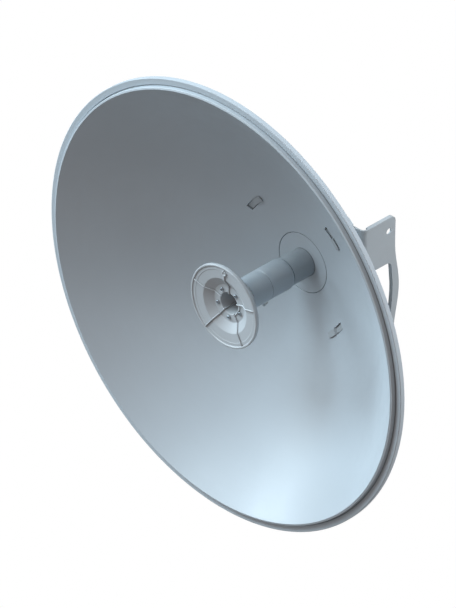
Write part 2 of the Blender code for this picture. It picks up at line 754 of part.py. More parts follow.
def build_cone():
    """The dielectric cone carries the subreflector on the end of the tube."""
    profile = [
        (0.0194, SUB_FACE_Y + 0.0153), (0.0290, SUB_FACE_Y + 0.0139),
        (0.0420, SUB_FACE_Y + 0.0105), (0.0560, SUB_FACE_Y + 0.0092),
        (0.0440, SUB_FACE_Y + 0.0180), (0.0300, SUB_FACE_Y + 0.0290),
        (SLEEVE_R, SLEEVE_FRONT_Y - GAP), (ON_TUBE_R, SLEEVE_FRONT_Y - GAP),
        (ON_TUBE_R, TUBE_FRONT_Y - GAP), (0.0194, TUBE_FRONT_Y - GAP),
    ]
    return turned("dielectric_cone", profile, 32, DIELECTRIC, FEED_AXIS)


def build_sub_screws(sub, cone):
    """Screws from the recess through the subreflector into the cone."""
    head = SUB_FACE_Y + RECESS - GAP
    end = SUB_FACE_Y + 0.0208
    profile = [
        (0.0, head - 0.0019), (0.0017, head - 0.0017), (0.0027, head - 0.0007),
        (0.0027, head), (0.0012, head), (0.0012, end), (0.0, end),
    ]
    sub_span = (SUB_FACE_Y + 0.002, SUB_FACE_Y + 0.020)
    cone_span = (SUB_FACE_Y + 0.008, SUB_FACE_Y + 0.0215)
    for k, degrees in enumerate(SUB_SCREW_ANGLES):
        x, z = polar(SUB_SCREW_CIRCLE_R, degrees)
        drill(sub, "sub_screw_hole", 0.0017, sub_span, 12, (x, 0, z))
        drill(cone, "cone_screw_hole", 0.0014, cone_span, 12, (x, 0, z))
        turned(f"subreflector_screw_{k + 1}", profile, 12, FASTENER, FEED_AXIS, (x, 0, z))


# ----------------------------------------------------- dual-port transducer
HOUSING_R = 0.0360
HOUSING_BORE_R = 0.0320
HOUSING_REAR_Y = 0.0560
COVER_FACE_Y = HOUSING_REAR_Y + 0.0045    # rear face of the cover
THROUGH_COVER = (HOUSING_REAR_Y - 0.003, COVER_FACE_Y + 0.003)
PORT_X = 0.0160
COVER_SCREW_CIRCLE_R = 0.0290

# Side view of the stepped septum: (y, z).
SEPTUM_OUTLINE = [
    (0.0290, -0.0180), (0.0290, 0.0180), (-0.0060, 0.0180), (-0.0060, 0.0110),
    (-0.0180, 0.0110), (-0.0180, 0.0030), (-0.0300, 0.0030), (-0.0300, -0.0050),
    (-0.0400, -0.0050), (-0.0400, -0.0180),
]
SEPTUM_T = 0.0016


def build_housing():
    profile = [
        (ON_TUBE_R, 0.0060), (HOUSING_R - 0.001, 0.0060), (HOUSING_R, 0.0070),
        (HOUSING_R, HOUSING_REAR_Y), (HOUSING_BORE_R, HOUSING_REAR_Y),
        (HOUSING_BORE_R, 0.0100), (ON_TUBE_R, 0.0100),
    ]
    turned("transducer_housing", profile, 32, CAST_ALLOY, FEED_AXIS)


def build_cover():
    profile = [
        (0.0, HOUSING_REAR_Y + GAP), (HOUSING_R, HOUSING_REAR_Y + GAP),
        (HOUSING_R, COVER_FACE_Y - 0.001), (HOUSING_R - 0.001, COVER_FACE_Y),
        (0.0, COVER_FACE_Y),
    ]
    return turned("transducer_cover", profile, 32, CAST_ALLOY, FEED_AXIS)


def build_ports(cover):
    """Two connectors through the cover, each with insulator and probe pin."""
    face = COVER_FACE_Y
    front = HOUSING_REAR_Y - 0.0060
    connector = [
        (0.0024, front), (0.0050, front), (0.0050, face + GAP), (0.0092, face + GAP),
        (0.0092, face + 0.0030), (0.0066, face + 0.0030), (0.0066, face + 0.0050),
        (0.0078, face + 0.0050), (0.0078, face + 0.0150), (0.0060, face + 0.0150),
        (0.0060, face + 0.0060), (0.0024, face + 0.0060),
    ]
    insulator = rectangle(0.0010, 0.0054, face + 0.0063, face + 0.0085)
    pin = [
        (0.0, 0.0380), (0.0007, 0.0380), (0.0007, face + 0.0125),
        (0.0003, face + 0.0133), (0.0, face + 0.0133),
    ]
    for number, x in ((1, -PORT_X), (2, PORT_X)):
        place = (x, 0, 0)
        drill(cover, "port_hole", 0.0053, THROUGH_COVER, 20, place)
        turned(f"rf_connector_{number}", connector, 16, BRASS, FEED_AXIS, place)
        turned(f"connector_insulator_{number}", insulator, 16, PTFE, FEED_AXIS, place)
        turned(f"probe_pin_{number}", pin, 8, BRASS, FEED_AXIS, place)


def build_cover_screws(cover):
    front, head = HOUSING_REAR_Y - 0.0050, COVER_FACE_Y + GAP
    profile = [
        (0.0, front), (0.0015, front), (0.0015, head), (0.0027, head),
        (0.0027, COVER_FACE_Y + 0.0012), (0.0016, COVER_FACE_Y + 0.0020),
        (0.0, COVER_FACE_Y + 0.0020),
    ]
    for k, degrees in enumerate(SCREW_ANGLES):
        x, z = polar(COVER_SCREW_CIRCLE_R, degrees)
        drill(cover, "cover_screw_hole", 0.0018, THROUGH_COVER, 12, (x, 0, z))
        turned(f"cover_screw_{k + 1}", profile, 12, FASTENER, FEED_AXIS, (x, 0, z))


def build_septum():
    """A stepped septum splits the two polarisations inside the tube."""
    mesh = plate_mesh("polariser_septum", [SEPTUM_OUTLINE], -SEPTUM_T / 2, SEPTUM_T / 2, IN_YZ)
    add("polariser_septum", mesh, BRASS, FEED_AXIS)


# -------------------------------------------------------------------- yoke
YOKE_REAR_Y = 0.0900
YOKE_FRONT_Y = 0.0340
YOKE_TOP_Z = -0.0925
YOKE_BOTTOM_Z = -0.1640
YOKE_BEND_R = 0.0060      # outside radius
EAR_CUT_Y = 0.1000        # rear of the ear outline, behind the yoke
TILT_UP_DEG = 15.0
TILT_DOWN_DEG = 10.0
SLOT_SPARE_DEG = 1.0      # slot beyond the tilt range, at each end
CLAMP_HOLE_X = 0.0450
CLAMP_HOLE_Z = 0.0220     # above and below the pivots

# Side view of an ear: (y, z, corner radius).
EAR_CORNERS = [
    (EAR_CUT_Y, YOKE_TOP_Z, 0.0), (YOKE_FRONT_Y, YOKE_TOP_Z, 0.0120),
    (YOKE_FRONT_Y, -0.1460, 0.0150), (0.0600, YOKE_BOTTOM_Z, 0.0100),
    (EAR_CUT_Y, YOKE_BOTTOM_Z, 0.0),
]


def yoke_outline():
    """Plan view in (x, y), running on ahead of YOKE_FRONT_Y."""
    centre = (YOKE_X - YOKE_BEND_R, YOKE_REAR_Y - YOKE_BEND_R)
    front = YOKE_FRONT_Y - 0.005
    right = arc(centre, YOKE_BEND_R - YOKE_T, math.pi / 2, 0.0, 4)
    right += [(YOKE_X - YOKE_T, front), (YOKE_X, front)]
    right += arc(centre, YOKE_BEND_R, 0.0, math.pi / 2, 4)
    return right + [(-x, y) for x, y in right[::-1]]


def lock_slot_outline():
    """Side view in (y, z) of the round-ended arc slot for the lock bolts."""
    pivot = (PIVOT_Y, PIVOT_Z)
    half = BOLT_R + 0.0004
    rear_end = math.radians(90 + TILT_DOWN_DEG + SLOT_SPARE_DEG)
    front_end = math.radians(90 - TILT_UP_DEG - SLOT_SPARE_DEG)
    # Angles are from +Y, so the smaller one is the rear end.
    rear_end, front_end = front_end, rear_end
    rear_centre = arc(pivot, LOCK_RADIUS, rear_end, rear_end, 1)[0]
    front_centre = arc(pivot, LOCK_RADIUS, front_end, front_end, 1)[0]
    return (
        arc(pivot, LOCK_RADIUS + half, front_end, rear_end, 8)
        + arc(rear_centre, half, rear_end, rear_end - math.pi, 6)[1:-1]
        + arc(pivot, LOCK_RADIUS - half, rear_end, front_end, 8)
        + arc(front_centre, half, front_end + math.pi, front_end, 6)[1:-1]
    )


def build_yoke():
    yoke = add(
        "tilt_yoke",
        plate_mesh("tilt_yoke", [yoke_outline()], YOKE_BOTTOM_Z, YOKE_TOP_Z, IN_XY),
        YOKE_ZINC, MAST_FRAME,
    )
    ear = rounded(EAR_CORNERS, 4)
    boolean(yoke, "INTERSECT", plate_mesh("ear_side", [ear], -0.100, 0.100, IN_YZ))
    across = (-THROUGH_X, THROUGH_X)
    drill(yoke, "pivot_hole", BOLT_R + 0.00025, across, 20, (0, PIVOT_Y, PIVOT_Z), ALONG_X)
    boolean(yoke, "DIFFERENCE", plate_mesh("arc_slot", [lock_slot_outline()], *across, IN_YZ))
    for x in (-CLAMP_HOLE_X, CLAMP_HOLE_X):
        for z in (-CLAMP_HOLE_Z, CLAMP_HOLE_Z):
            drill(yoke, "clamp_hole", 0.0045, (0.080, 0.100), 16, (x, 0, PIVOT_Z + z))


# ------------------------------------------------------ pivot and lock bolts
HEX_R = 0.0075            # across-corners radius of heads and nuts
HEAD_T = 0.0053
NUT_T = 0.0065
SPACER_R = 0.0090


def build_bolt_set(label, word, parent, place, turn):
    """Bolt, spacer and nut on one side; distances run outwards from x = 0."""
    # Hexagon bolt: the head outside the arm, the thread end inside the ear.
    name = f"{label}_bolt_{word}"
    head = ARM_X + GAP
    head_mesh = cylinder_mesh(name, HEX_R, head, head + HEAD_T, 6)
    bolt = add(name, head_mesh, FASTENER, parent, place, turn)
    shank = cylinder_mesh("shank", BOLT_R, 0.0700, head + 0.002, 20)
    boolean(bolt, "UNION", shank, place, turn)

    # Spacer between the arm and the ear.
    spacer = rectangle(BOLT_R + GAP, SPACER_R, YOKE_X + GAP, ARM_X - SHEET - GAP)
    turned(f"{label}_spacer_{word}", spacer, 16, FASTENER, parent, place, turn)

    name = f"{label}_nut_{word}"
    nut_face = YOKE_X - YOKE_T - GAP
    nut_mesh = cylinder_mesh(name, HEX_R, nut_face - NUT_T, nut_face, 6)
    nut = add(name, nut_mesh, FASTENER, parent, place, turn)
    drill(nut, "nut_bore", BOLT_R + 0.0002, (0.060, 0.090), 20, place, turn)


def build_bolts():
    for word, turn in (("left", ALONG_MINUS_X), ("right", ALONG_X)):
        build_bolt_set("pivot", word, MAST_FRAME, (0, PIVOT_Y, PIVOT_Z), turn)
        build_bolt_set("lock", word, TILT_PIVOT, (0, PIVOT_Y, PIVOT_Z + LOCK_RADIUS), turn)


def soften_parts():
    """Smooth shading with sharp edges; turned parts are smoothed by their modifier."""
    for obj in PARTS.objects:
        if obj.type == "MESH" and obj.data.polygons:
            obj.data.shade_smooth()
            obj.data.set_sharp_from_angle(angle=math.radians(35))


def build_dish():
    build_reflector()
    build_bracket()
    build_collar()
    build_lock_ring()
    build_feed_base()
    build_tube()
    sub = build_subreflector()
    cone = build_cone()
    build_sub_screws(sub, cone)
    build_housing()
    cover = build_cover()
    build_ports(cover)
    build_cover_screws(cover)
    build_septum()
    build_yoke()
    build_bolts()
    soften_parts()


build_dish()
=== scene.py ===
"""The looks of the satellite dish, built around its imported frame."""

import math

import bmesh
import bpy
import numpy as np
from mathutils import Matrix, Vector
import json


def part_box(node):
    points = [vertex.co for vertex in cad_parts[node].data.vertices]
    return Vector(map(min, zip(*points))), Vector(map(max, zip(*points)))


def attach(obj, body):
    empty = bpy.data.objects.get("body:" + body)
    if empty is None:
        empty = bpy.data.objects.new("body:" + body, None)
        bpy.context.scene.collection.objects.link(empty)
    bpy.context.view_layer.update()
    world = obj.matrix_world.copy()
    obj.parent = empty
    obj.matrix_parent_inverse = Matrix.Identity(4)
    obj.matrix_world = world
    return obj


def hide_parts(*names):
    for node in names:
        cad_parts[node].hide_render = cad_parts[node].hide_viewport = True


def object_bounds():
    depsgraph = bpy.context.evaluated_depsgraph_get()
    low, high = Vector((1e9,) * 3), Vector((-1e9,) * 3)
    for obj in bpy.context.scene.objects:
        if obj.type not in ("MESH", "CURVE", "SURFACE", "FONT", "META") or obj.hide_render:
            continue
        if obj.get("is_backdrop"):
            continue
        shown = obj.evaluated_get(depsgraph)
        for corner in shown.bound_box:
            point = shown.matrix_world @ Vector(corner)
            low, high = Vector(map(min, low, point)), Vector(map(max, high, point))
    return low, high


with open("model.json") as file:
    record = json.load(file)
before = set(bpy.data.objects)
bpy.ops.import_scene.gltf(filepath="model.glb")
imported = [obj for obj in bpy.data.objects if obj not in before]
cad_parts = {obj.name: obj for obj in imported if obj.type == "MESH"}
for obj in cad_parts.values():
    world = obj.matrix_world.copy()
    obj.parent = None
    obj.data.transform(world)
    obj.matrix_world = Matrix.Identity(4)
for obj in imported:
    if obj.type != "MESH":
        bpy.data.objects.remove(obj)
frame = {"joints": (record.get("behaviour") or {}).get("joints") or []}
CAD_LOW, CAD_HIGH = (list(v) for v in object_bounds())

JOINTS = {j["name"]: j for j in frame["joints"]}
VERTEX = Vector(JOINTS["reflector_twist"]["pos_m"])
TILT = Vector(JOINTS["elevation_tilt"]["pos_m"])

# ------------------------------------------------------------ shared sizes
RIM_R = (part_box("reflector")[1].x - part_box("reflector")[0].x) / 2
DEPTH = VERTEX.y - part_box("reflector")[0].y - 0.0053
BOWL_R = 0.3108
FOCAL = 0.1496
SKIN = 0.0016
REFLECTOR_HOLE_R = 0.0443
BASE_DISC_R = 0.0436
TUBE_R = 0.02035
TUBE_BORE_R = 0.0185
SLEEVE_R = 0.0222
SUB_R = 0.0612
SUB_FACE_Y = -0.1533
SLEEVE_REAR_Y = -0.0405
SLEEVE_JOINT_Y = -0.0815
SLEEVE_FRONT_Y = -0.1165
TUBE_FRONT_Y = -0.1230
SUB_SCREW_CIRCLE_R = 0.0212
SUB_SCREW_ANGLES = [54 + 72 * k for k in range(5)]
SUB_RIB_ANGLES = [90 + 72 * k for k in range(5)]
SHEET = 0.0025
WEB_Y = 0.0190
ARM_X = 0.0900
ARM_EDGE = 0.0060
ARM_TOP_Z = 0.0787
ARM_BOTTOM_Z = -0.1510
WEB_BOTTOM_Z = -0.0850
BEND_R = 0.0080
FLANGE_START_Y = 0.0291
HOOK_R = 0.1015
HOOK_W = 0.0080
HOOK_ANGLES = [48 + 90 * k for k in range(4)]
HOOK_T = 0.0020
COLLAR_BORE_R = 0.0368
COLLAR_R = 0.0415
WEB_HOLE_R = 0.0418
COLLAR_SCREW_CIRCLE_R = 0.0500
HOUSING_R = 0.0360
HOUSING_REAR_Y = 0.0560
COVER_FACE_Y = HOUSING_REAR_Y + 0.0045
YOKE_X = 0.0832
YOKE_T = 0.0030
YOKE_REAR_Y = 0.0900
YOKE_FRONT_Y = 0.0340
YOKE_TOP_Z = -0.0925
YOKE_BOTTOM_Z = -0.1640
PIVOT_Y = TILT.y - VERTEX.y
PIVOT_Z = TILT.z - VERTEX.z
BOLT_R = 0.0040
LOCK_RADIUS = 0.0260
TILT_UP_DEG = 15.0
TILT_DOWN_DEG = 10.0
GAP = 0.0003

scene = bpy.context.scene
scene.view_settings.view_transform = "Standard"
scene.view_settings.look = "None"
scene.view_settings.exposure = 0.0
scene.view_settings.gamma = 1.0

WORK = bpy.data.collections.new("work")


# ============================================================== materials
class Tree:
    """A small helper to wire a material's nodes."""

    def __init__(self, name):
        self.mat = bpy.data.materials.new(name)
        self.mat.use_nodes = True
        self.nodes = self.mat.node_tree.nodes
        self.links = self.mat.node_tree.links
        self.nodes.clear()
        self.out = self.nodes.new("ShaderNodeOutputMaterial")
        self.shader = self.nodes.new("ShaderNodeBsdfPrincipled")
        self.links.new(self.shader.outputs[0], self.out.inputs[0])
        self.coords = self.nodes.new("ShaderNodeNewGeometry")

    def node(self, kind, **settings):
        node = self.nodes.new(kind)
        for key, value in settings.items():
            setattr(node, key, value)
        return node

    def put(self, socket, value):
        if hasattr(value, "is_output"):
            self.links.new(value, socket)
        else:
            socket.default_value = value

    def position(self, scale=(1, 1, 1), offset=(0, 0, 0)):
        """Object space position, so a finish stays with its piece."""
        coords = self.node("ShaderNodeTexCoord")
        mapping = self.node("ShaderNodeMapping")
        self.links.new(coords.outputs["Object"], mapping.inputs["Vector"])
        mapping.inputs["Scale"].default_value = scale
        mapping.inputs["Location"].default_value = offset
        return mapping.outputs[0]

    def noise(self, scale, detail=4.0, rough=0.5, vector=None, distortion=0.0):
        node = self.node("ShaderNodeTexNoise")
        node.inputs["Scale"].default_value = scale
        node.inputs["Detail"].default_value = detail
        node.inputs["Roughness"].default_value = rough
        node.inputs["Distortion"].default_value = distortion
        self.links.new(vector if vector is not None else self.position(), node.inputs["Vector"])
        return node.outputs["Fac"]

    def ramp(self, value, low, high, a=0.0, b=1.0, smooth=True):
        node = self.node("ShaderNodeMapRange")
        node.interpolation_type = "SMOOTHSTEP" if smooth else "LINEAR"
        self.put(node.inputs["Value"], value)
        node.inputs["From Min"].default_value = low
        node.inputs["From Max"].default_value = high
        node.inputs["To Min"].default_value = a
        node.inputs["To Max"].default_value = b
        return node.outputs[0]

    def math(self, op, a, b=0.0, c=0.0, clamp=False):
        node = self.node("ShaderNodeMath", operation=op, use_clamp=clamp)
        self.put(node.inputs[0], a)
        self.put(node.inputs[1], b)
        self.put(node.inputs[2], c)
        return node.outputs[0]

    def mix(self, factor, a, b, blend="MIX"):
        node = self.node("ShaderNodeMix", data_type="RGBA", blend_type=blend)
        self.put(node.inputs[0], factor)
        self.put(node.inputs[6], a if hasattr(a, "is_output") else (*a, 1.0))
        self.put(node.inputs[7], b if hasattr(b, "is_output") else (*b, 1.0))
        return node.outputs[2]

    def bump(self, height, strength, distance, normal=None):
        node = self.node("ShaderNodeBump")
        self.put(node.inputs["Strength"], strength)
        node.inputs["Distance"].default_value = distance
        self.links.new(height, node.inputs["Height"])
        if normal is not None:
            self.links.new(normal, node.inputs["Normal"])
        return node.outputs[0]

    def round_edges(self, radius, samples=4):
        node = self.node("ShaderNodeBevel", samples=samples)
        node.inputs["Radius"].default_value = radius
        return node.outputs[0]

    def edge_mask(self, radius, samples=4):
        """1 on a piece's edges, from the angle between true and rounded normals."""
        bevel = self.round_edges(radius, samples)
        dot = self.node("ShaderNodeVectorMath", operation="DOT_PRODUCT")
        self.links.new(bevel, dot.inputs[0])
        self.links.new(self.coords.outputs["Normal"], dot.inputs[1])
        return self.ramp(dot.outputs["Value"], 0.995, 0.80)

    def painted_crease_shade(self, base, colour, reach=0.0022, depth=0.6):
        """Painted shade: darkens the colour in narrow corners, grooves and seams that ambient occlusion finds."""
        corner = self.node("ShaderNodeAmbientOcclusion", samples=6)
        corner.inputs["Distance"].default_value = reach
        amount = self.ramp(corner.outputs["AO"], 0.42, 0.86, 1.0, 0.0)
        return self.mix(self.math("MULTIPLY", amount, depth), base, scaled(colour, 0.32))

    def finish(self, colour, rough, metal=0.0, normal=None, **more):
        self.put(self.shader.inputs["Base Color"], colour if hasattr(colour, "is_output") else (*colour, 1.0))
        self.put(self.shader.inputs["Roughness"], rough)
        self.put(self.shader.inputs["Metallic"], metal)
        if normal is not None:
            self.links.new(normal, self.shader.inputs["Normal"])
        for key, value in more.items():
            self.put(self.shader.inputs[key.replace("_", " ")], value)
        return self.mat


def scaled(colour, factor):
    return tuple(min(1.0, c * factor) for c in colour)


def powder_coat(name, colour, rough, grain=900.0, relief=0.00005, wear=0.25, dust=0.35, coat=0.0, shade=0.6):
    """Sprayed and baked coat: fine orange peel, speckle, faint dust, thin edges, and painted shade in its creases."""
    t = Tree(name)
    broad = t.noise(7.0, 3.0, 0.55)
    middle = t.noise(55.0, 4.0, 0.6)
    speck = t.noise(grain * 2.3, 2.0, 0.5)
    peel = t.noise(grain, 3.0, 0.5)
    base = t.mix(t.ramp(broad, 0.30, 0.70), scaled(colour, 0.965), scaled(colour, 1.035))
    base = t.mix(t.ramp(middle, 0.35, 0.75, 0.0, 0.45), base, scaled(colour, 0.955))
    base = t.mix(t.ramp(speck, 0.62, 0.74, 0.0, 0.35), base, scaled(colour, 1.12))
    base = t.mix(t.ramp(speck, 0.40, 0.28, 0.0, 0.30), base, scaled(colour, 0.86))
    if dust:
        # Dust settles on faces that look up.
        up = t.node("ShaderNodeSeparateXYZ")
        t.links.new(t.coords.outputs["Normal"], up.inputs[0])
        settle = t.math("MULTIPLY", t.ramp(up.outputs["Z"], 0.35, 1.0), t.ramp(middle, 0.35, 0.65, 0.2, 1.0))
        base = t.mix(t.math("MULTIPLY", settle, dust * 0.4), base, (0.66, 0.66, 0.64))
    if wear:
        edge = t.math("MULTIPLY", t.edge_mask(0.0006), t.ramp(middle, 0.40, 0.62, 0.35, 1.0))
        base = t.mix(t.math("MULTIPLY", edge, wear), base, scaled(colour, 1.30))
    # Painted shade darkens the coat in its corners and grooves.
    base = t.painted_crease_shade(base, colour, depth=shade)
    roughness = t.ramp(middle, 0.25, 0.75, rough - 0.035, rough + 0.05)
    normal = t.bump(peel, 0.30, relief, t.round_edges(0.00035))
    return t.finish(base, roughness, 0.0, normal, Coat_Weight=coat, Coat_Roughness=0.25, Specular_IOR_Level=0.5)


def spun_coat(name, colour, rough, coat=0.0, metal=0.0):
    """The same coat over a spun skin, with the faint turning rings that show through."""
    t = Tree(name)
    place = t.position()
    split = t.node("ShaderNodeSeparateXYZ")
    t.links.new(place, split.inputs[0])
    x = t.math("SUBTRACT", split.outputs["X"], VERTEX.x)
    z = t.math("SUBTRACT", split.outputs["Z"], VERTEX.z)
    radius = t.math("SQRT", t.math("ADD", t.math("MULTIPLY", x, x), t.math("MULTIPLY", z, z)))
    ring_at = t.node("ShaderNodeCombineXYZ")
    t.links.new(radius, ring_at.inputs[0])
    angle = t.math("ARCTAN2", z, x)
    t.links.new(t.math("MULTIPLY", angle, 0.02), ring_at.inputs[1])
    rings = t.noise(150.0, 3.0, 0.55, ring_at.outputs[0])
    broad = t.noise(5.0, 3.0, 0.5)
    middle = t.noise(42.0, 4.0, 0.6)
    peel = t.noise(700.0, 3.0, 0.5)
    speck = t.noise(1900.0, 2.0, 0.5)
    base = t.mix(t.ramp(broad, 0.30, 0.70), scaled(colour, 0.975), scaled(colour, 1.025))
    base = t.mix(t.ramp(rings, 0.35, 0.70, 0.0, 0.30), base, scaled(colour, 0.975))
    base = t.mix(t.ramp(middle, 0.40, 0.75, 0.0, 0.35), base, scaled(colour, 0.965))
    base = t.mix(t.ramp(speck, 0.62, 0.74, 0.0, 0.30), base, scaled(colour, 1.10))
    base = t.mix(t.ramp(speck, 0.40, 0.28, 0.0, 0.25), base, scaled(colour, 0.88))
    edge = t.math("MULTIPLY", t.edge_mask(0.0007), t.ramp(middle, 0.42, 0.62, 0.3, 1.0))
    base = t.mix(t.math("MULTIPLY", edge, 0.18), base, scaled(colour, 1.25))
    # Painted shade darkens the coat in its corners, grooves and slot edges.
    base = t.painted_crease_shade(base, colour)
    # The rolled rim is smoother than the bowl, where the rings and the peel show,
    # and handling has left its coat duller.
    rim = t.ramp(radius, 0.3152, 0.3162)
    roughness = t.ramp(middle, 0.25, 0.75, rough - 0.03, rough + 0.04)
    roughness = t.math("ADD", roughness, t.math("MULTIPLY", rim, 0.24))
    normal = t.bump(rings, t.ramp(radius, 0.3110, 0.3150, 0.10, 0.0), 0.00012, t.round_edges(0.00035))
    normal = t.bump(peel, t.ramp(radius, 0.3110, 0.3150, 0.22, 0.05), 0.00005, normal)
    return t.finish(
        base, roughness, metal, normal, Coat_Roughness=0.22,
        Coat_Weight=t.math("MULTIPLY", t.math("SUBTRACT", 1.0, rim), coat),
        Specular_IOR_Level=t.math("SUBTRACT", 0.5, t.math("MULTIPLY", rim, 0.30)),
    )


def plated(name, colour, rough, grain=(1, 1, 1), metal=1.0, spangle=0.0, wear=0.3):
    """Bare or plated metal with fine drawn grain and soft stains."""
    t = Tree(name)
    stretched = t.position(grain)
    lines = t.noise(420.0, 5.0, 0.6, stretched)
    stain = t.noise(60.0, 5.0, 0.65)
    base = t.mix(t.ramp(stain, 0.35, 0.70), scaled(colour, 0.90), scaled(colour, 1.05))
    base = t.mix(t.ramp(lines, 0.40, 0.65, 0.0, 0.35), base, scaled(colour, 0.84))
    if spangle:
        cells = t.node("ShaderNodeTexVoronoi")
        cells.inputs["Scale"].default_value = 210.0
        t.links.new(t.position(), cells.inputs["Vector"])
        flake = t.node("ShaderNodeSeparateColor")
        t.links.new(cells.outputs["Color"], flake.inputs[0])
        base = t.mix(t.math("MULTIPLY", flake.outputs[0], spangle), base, scaled(colour, 1.22))
    edge = t.edge_mask(0.0004)
    base = t.mix(t.math("MULTIPLY", edge, wear), base, scaled(colour, 1.35))
    roughness = t.ramp(t.math("ADD", t.math("MULTIPLY", lines, 0.5), t.math("MULTIPLY", stain, 0.5)), 0.35, 0.65, rough - 0.08, rough + 0.10)
    normal = t.bump(lines, 0.12, 0.00004, t.round_edges(0.0003))
    return t.finish(base, roughness, metal, normal)


def cast_metal(name, colour, rough):
    t = Tree(name)
    pits = t.noise(650.0, 5.0, 0.65)
    stain = t.noise(38.0, 4.0, 0.6)
    base = t.mix(t.ramp(stain, 0.3, 0.7), scaled(colour, 0.88), scaled(colour, 1.05))
    base = t.mix(t.ramp(pits, 0.45, 0.30, 0.0, 0.5), base, scaled(colour, 0.70))
    edge = t.edge_mask(0.0007)
    base = t.mix(t.math("MULTIPLY", edge, 0.35), base, scaled(colour, 1.30))
    roughness = t.ramp(pits, 0.3, 0.7, rough + 0.08, rough - 0.05)
    normal = t.bump(pits, 0.35, 0.00012, t.round_edges(0.0005))
    return t.finish(base, roughness, 0.9, normal)


def moulded(name, colour, rough, relief=0.00006, translucent=0.0):
    """Moulded plastic or rubber with a spark-eroded texture."""
    t = Tree(name)
    grain = t.noise(1100.0, 4.0, 0.6)
    flow = t.noise(30.0, 3.0, 0.5)
    base = t.mix(t.ramp(flow, 0.3, 0.7), scaled(colour, 0.93), scaled(colour, 1.06))
    base = t.mix(t.ramp(grain, 0.58, 0.72, 0.0, 0.4), base, scaled(colour, 1.22))
    edge = t.edge_mask(0.0005)
    base = t.mix(t.math("MULTIPLY", edge, 0.25), base, tuple(c * 0.6 + 0.22 for c in colour))
    roughness = t.ramp(grain, 0.3, 0.7, rough - 0.05, rough + 0.08)
    normal = t.bump(grain, 0.35, relief, t.round_edges(0.0004))
    return t.finish(base, roughness, 0.0, normal, Subsurface_Weight=translucent, Subsurface_Scale=0.004)


GREY = (0.455, 0.515, 0.560)
M_DISH = spun_coat("spun_powder_coat", GREY, 0.36)
M_BRACKET = powder_coat("bracket_powder_coat", (0.385, 0.425, 0.450), 0.42)
M_TUBE = powder_coat("tube_coat", (0.280, 0.322, 0.353), 0.38, grain=1200.0, relief=0.00003)
M_SLEEVE = powder_coat("sleeve_coat", (0.322, 0.368, 0.405), 0.38, grain=1200.0, relief=0.00003)
M_DISC = spun_coat("base_disc_coat", GREY, 0.36)
# The splash plate gets deeper painted shade in its corners and along its ribs.
M_SUB = powder_coat("splash_plate_coat", (0.442, 0.482, 0.511), 0.34, grain=1300.0, relief=0.00003, shade=0.9)
M_YOKE = plated("zinc_plate", (0.53, 0.60, 0.66), 0.34, (1, 1, 4), spangle=0.35)
M_STEEL = plated("stainless", (0.49, 0.55, 0.60), 0.27, (1, 6, 1))
M_CAST = cast_metal("die_cast", (0.50, 0.56, 0.61), 0.42)
M_BRASS = plated("brass_plate", (0.72, 0.56, 0.30), 0.25, (1, 5, 1))
M_RING = moulded("ring_plastic", (0.030, 0.031, 0.034), 0.48)
M_RUBBER = moulded("seal_rubber", (0.018, 0.018, 0.018), 0.70, 0.00008)
M_CONE = moulded("dielectric_plastic", (0.56, 0.58, 0.59), 0.42, 0.00004, 0.15)
M_PTFE = moulded("ptfe", (0.78, 0.78, 0.76), 0.40, 0.00003, 0.25)


# ================================================================ meshes
def mesh_from_bmesh(name, bm, recalc=True):
    if recalc:
        bmesh.ops.recalc_face_normals(bm, faces=bm.faces)
    mesh = bpy.data.meshes.new(name)
    bm.to_mesh(mesh)
    bm.free()
    return mesh


def rounded(points, segments=4, closed=True):
    """Round the corners of an outline: (x, y, radius) triples."""
    out = []
    count = len(points)
    for i, (x, y, radius) in enumerate(points):
        here = Vector((x, y))
        if radius <= 0 or (not closed and i in (0, count - 1)):
            out.append((x, y))
            continue
        before = Vector(points[i - 1][:2]) - here
        after = Vector(points[(i + 1) % count][:2]) - here
        angle = before.angle(after)
        if angle > math.pi - 1e-3:
            out.append((x, y))
            continue
        cut = radius / math.tan(angle / 2)
        limit = 0.499 * min(before.length, after.length)
        if cut > limit:
            radius *= limit / cut
            cut = limit
        start = here + before.normalized() * cut
        end = here + after.normalized() * cut
        middle = (before.normalized() + after.normalized()).normalized()
        centre = here + middle * (radius / math.sin(angle / 2))
        a0 = math.atan2(*(start - centre).yx)
        a1 = math.atan2(*(end - centre).yx)
        while a1 - a0 > math.pi:
            a1 -= 2 * math.pi
        while a1 - a0 < -math.pi:
            a1 += 2 * math.pi
        for k in range(segments + 1):
            a = a0 + (a1 - a0) * k / segments
            out.append((centre.x + radius * math.cos(a), centre.y + radius * math.sin(a)))
    return out


def clockwise(points):
    area = 0.0
    for (a, b), (c, d) in zip(points, points[1:] + points[:1]):
        area += a * d - c * b
    return area < 0


def offset_outline(points, distance):
    if clockwise(points):
        points = points[::-1]
    out = []
    count = len(points)
    for i in range(count):
        p0, p1, p2 = (Vector(points[j % count]) for j in (i - 1, i, i + 1))
        d0, d1 = (p1 - p0).normalized(), (p2 - p1).normalized()
        n0, n1 = Vector((d0.y, -d0.x)), Vector((d1.y, -d1.x))
        n = (n0 + n1).normalized()
        out.append(tuple(p1 + n * (distance / max(n.dot(n0), 0.3))))
    return out


def polar(radius, degrees):
    a = math.radians(degrees)
    return radius * math.cos(a), radius * math.sin(a)


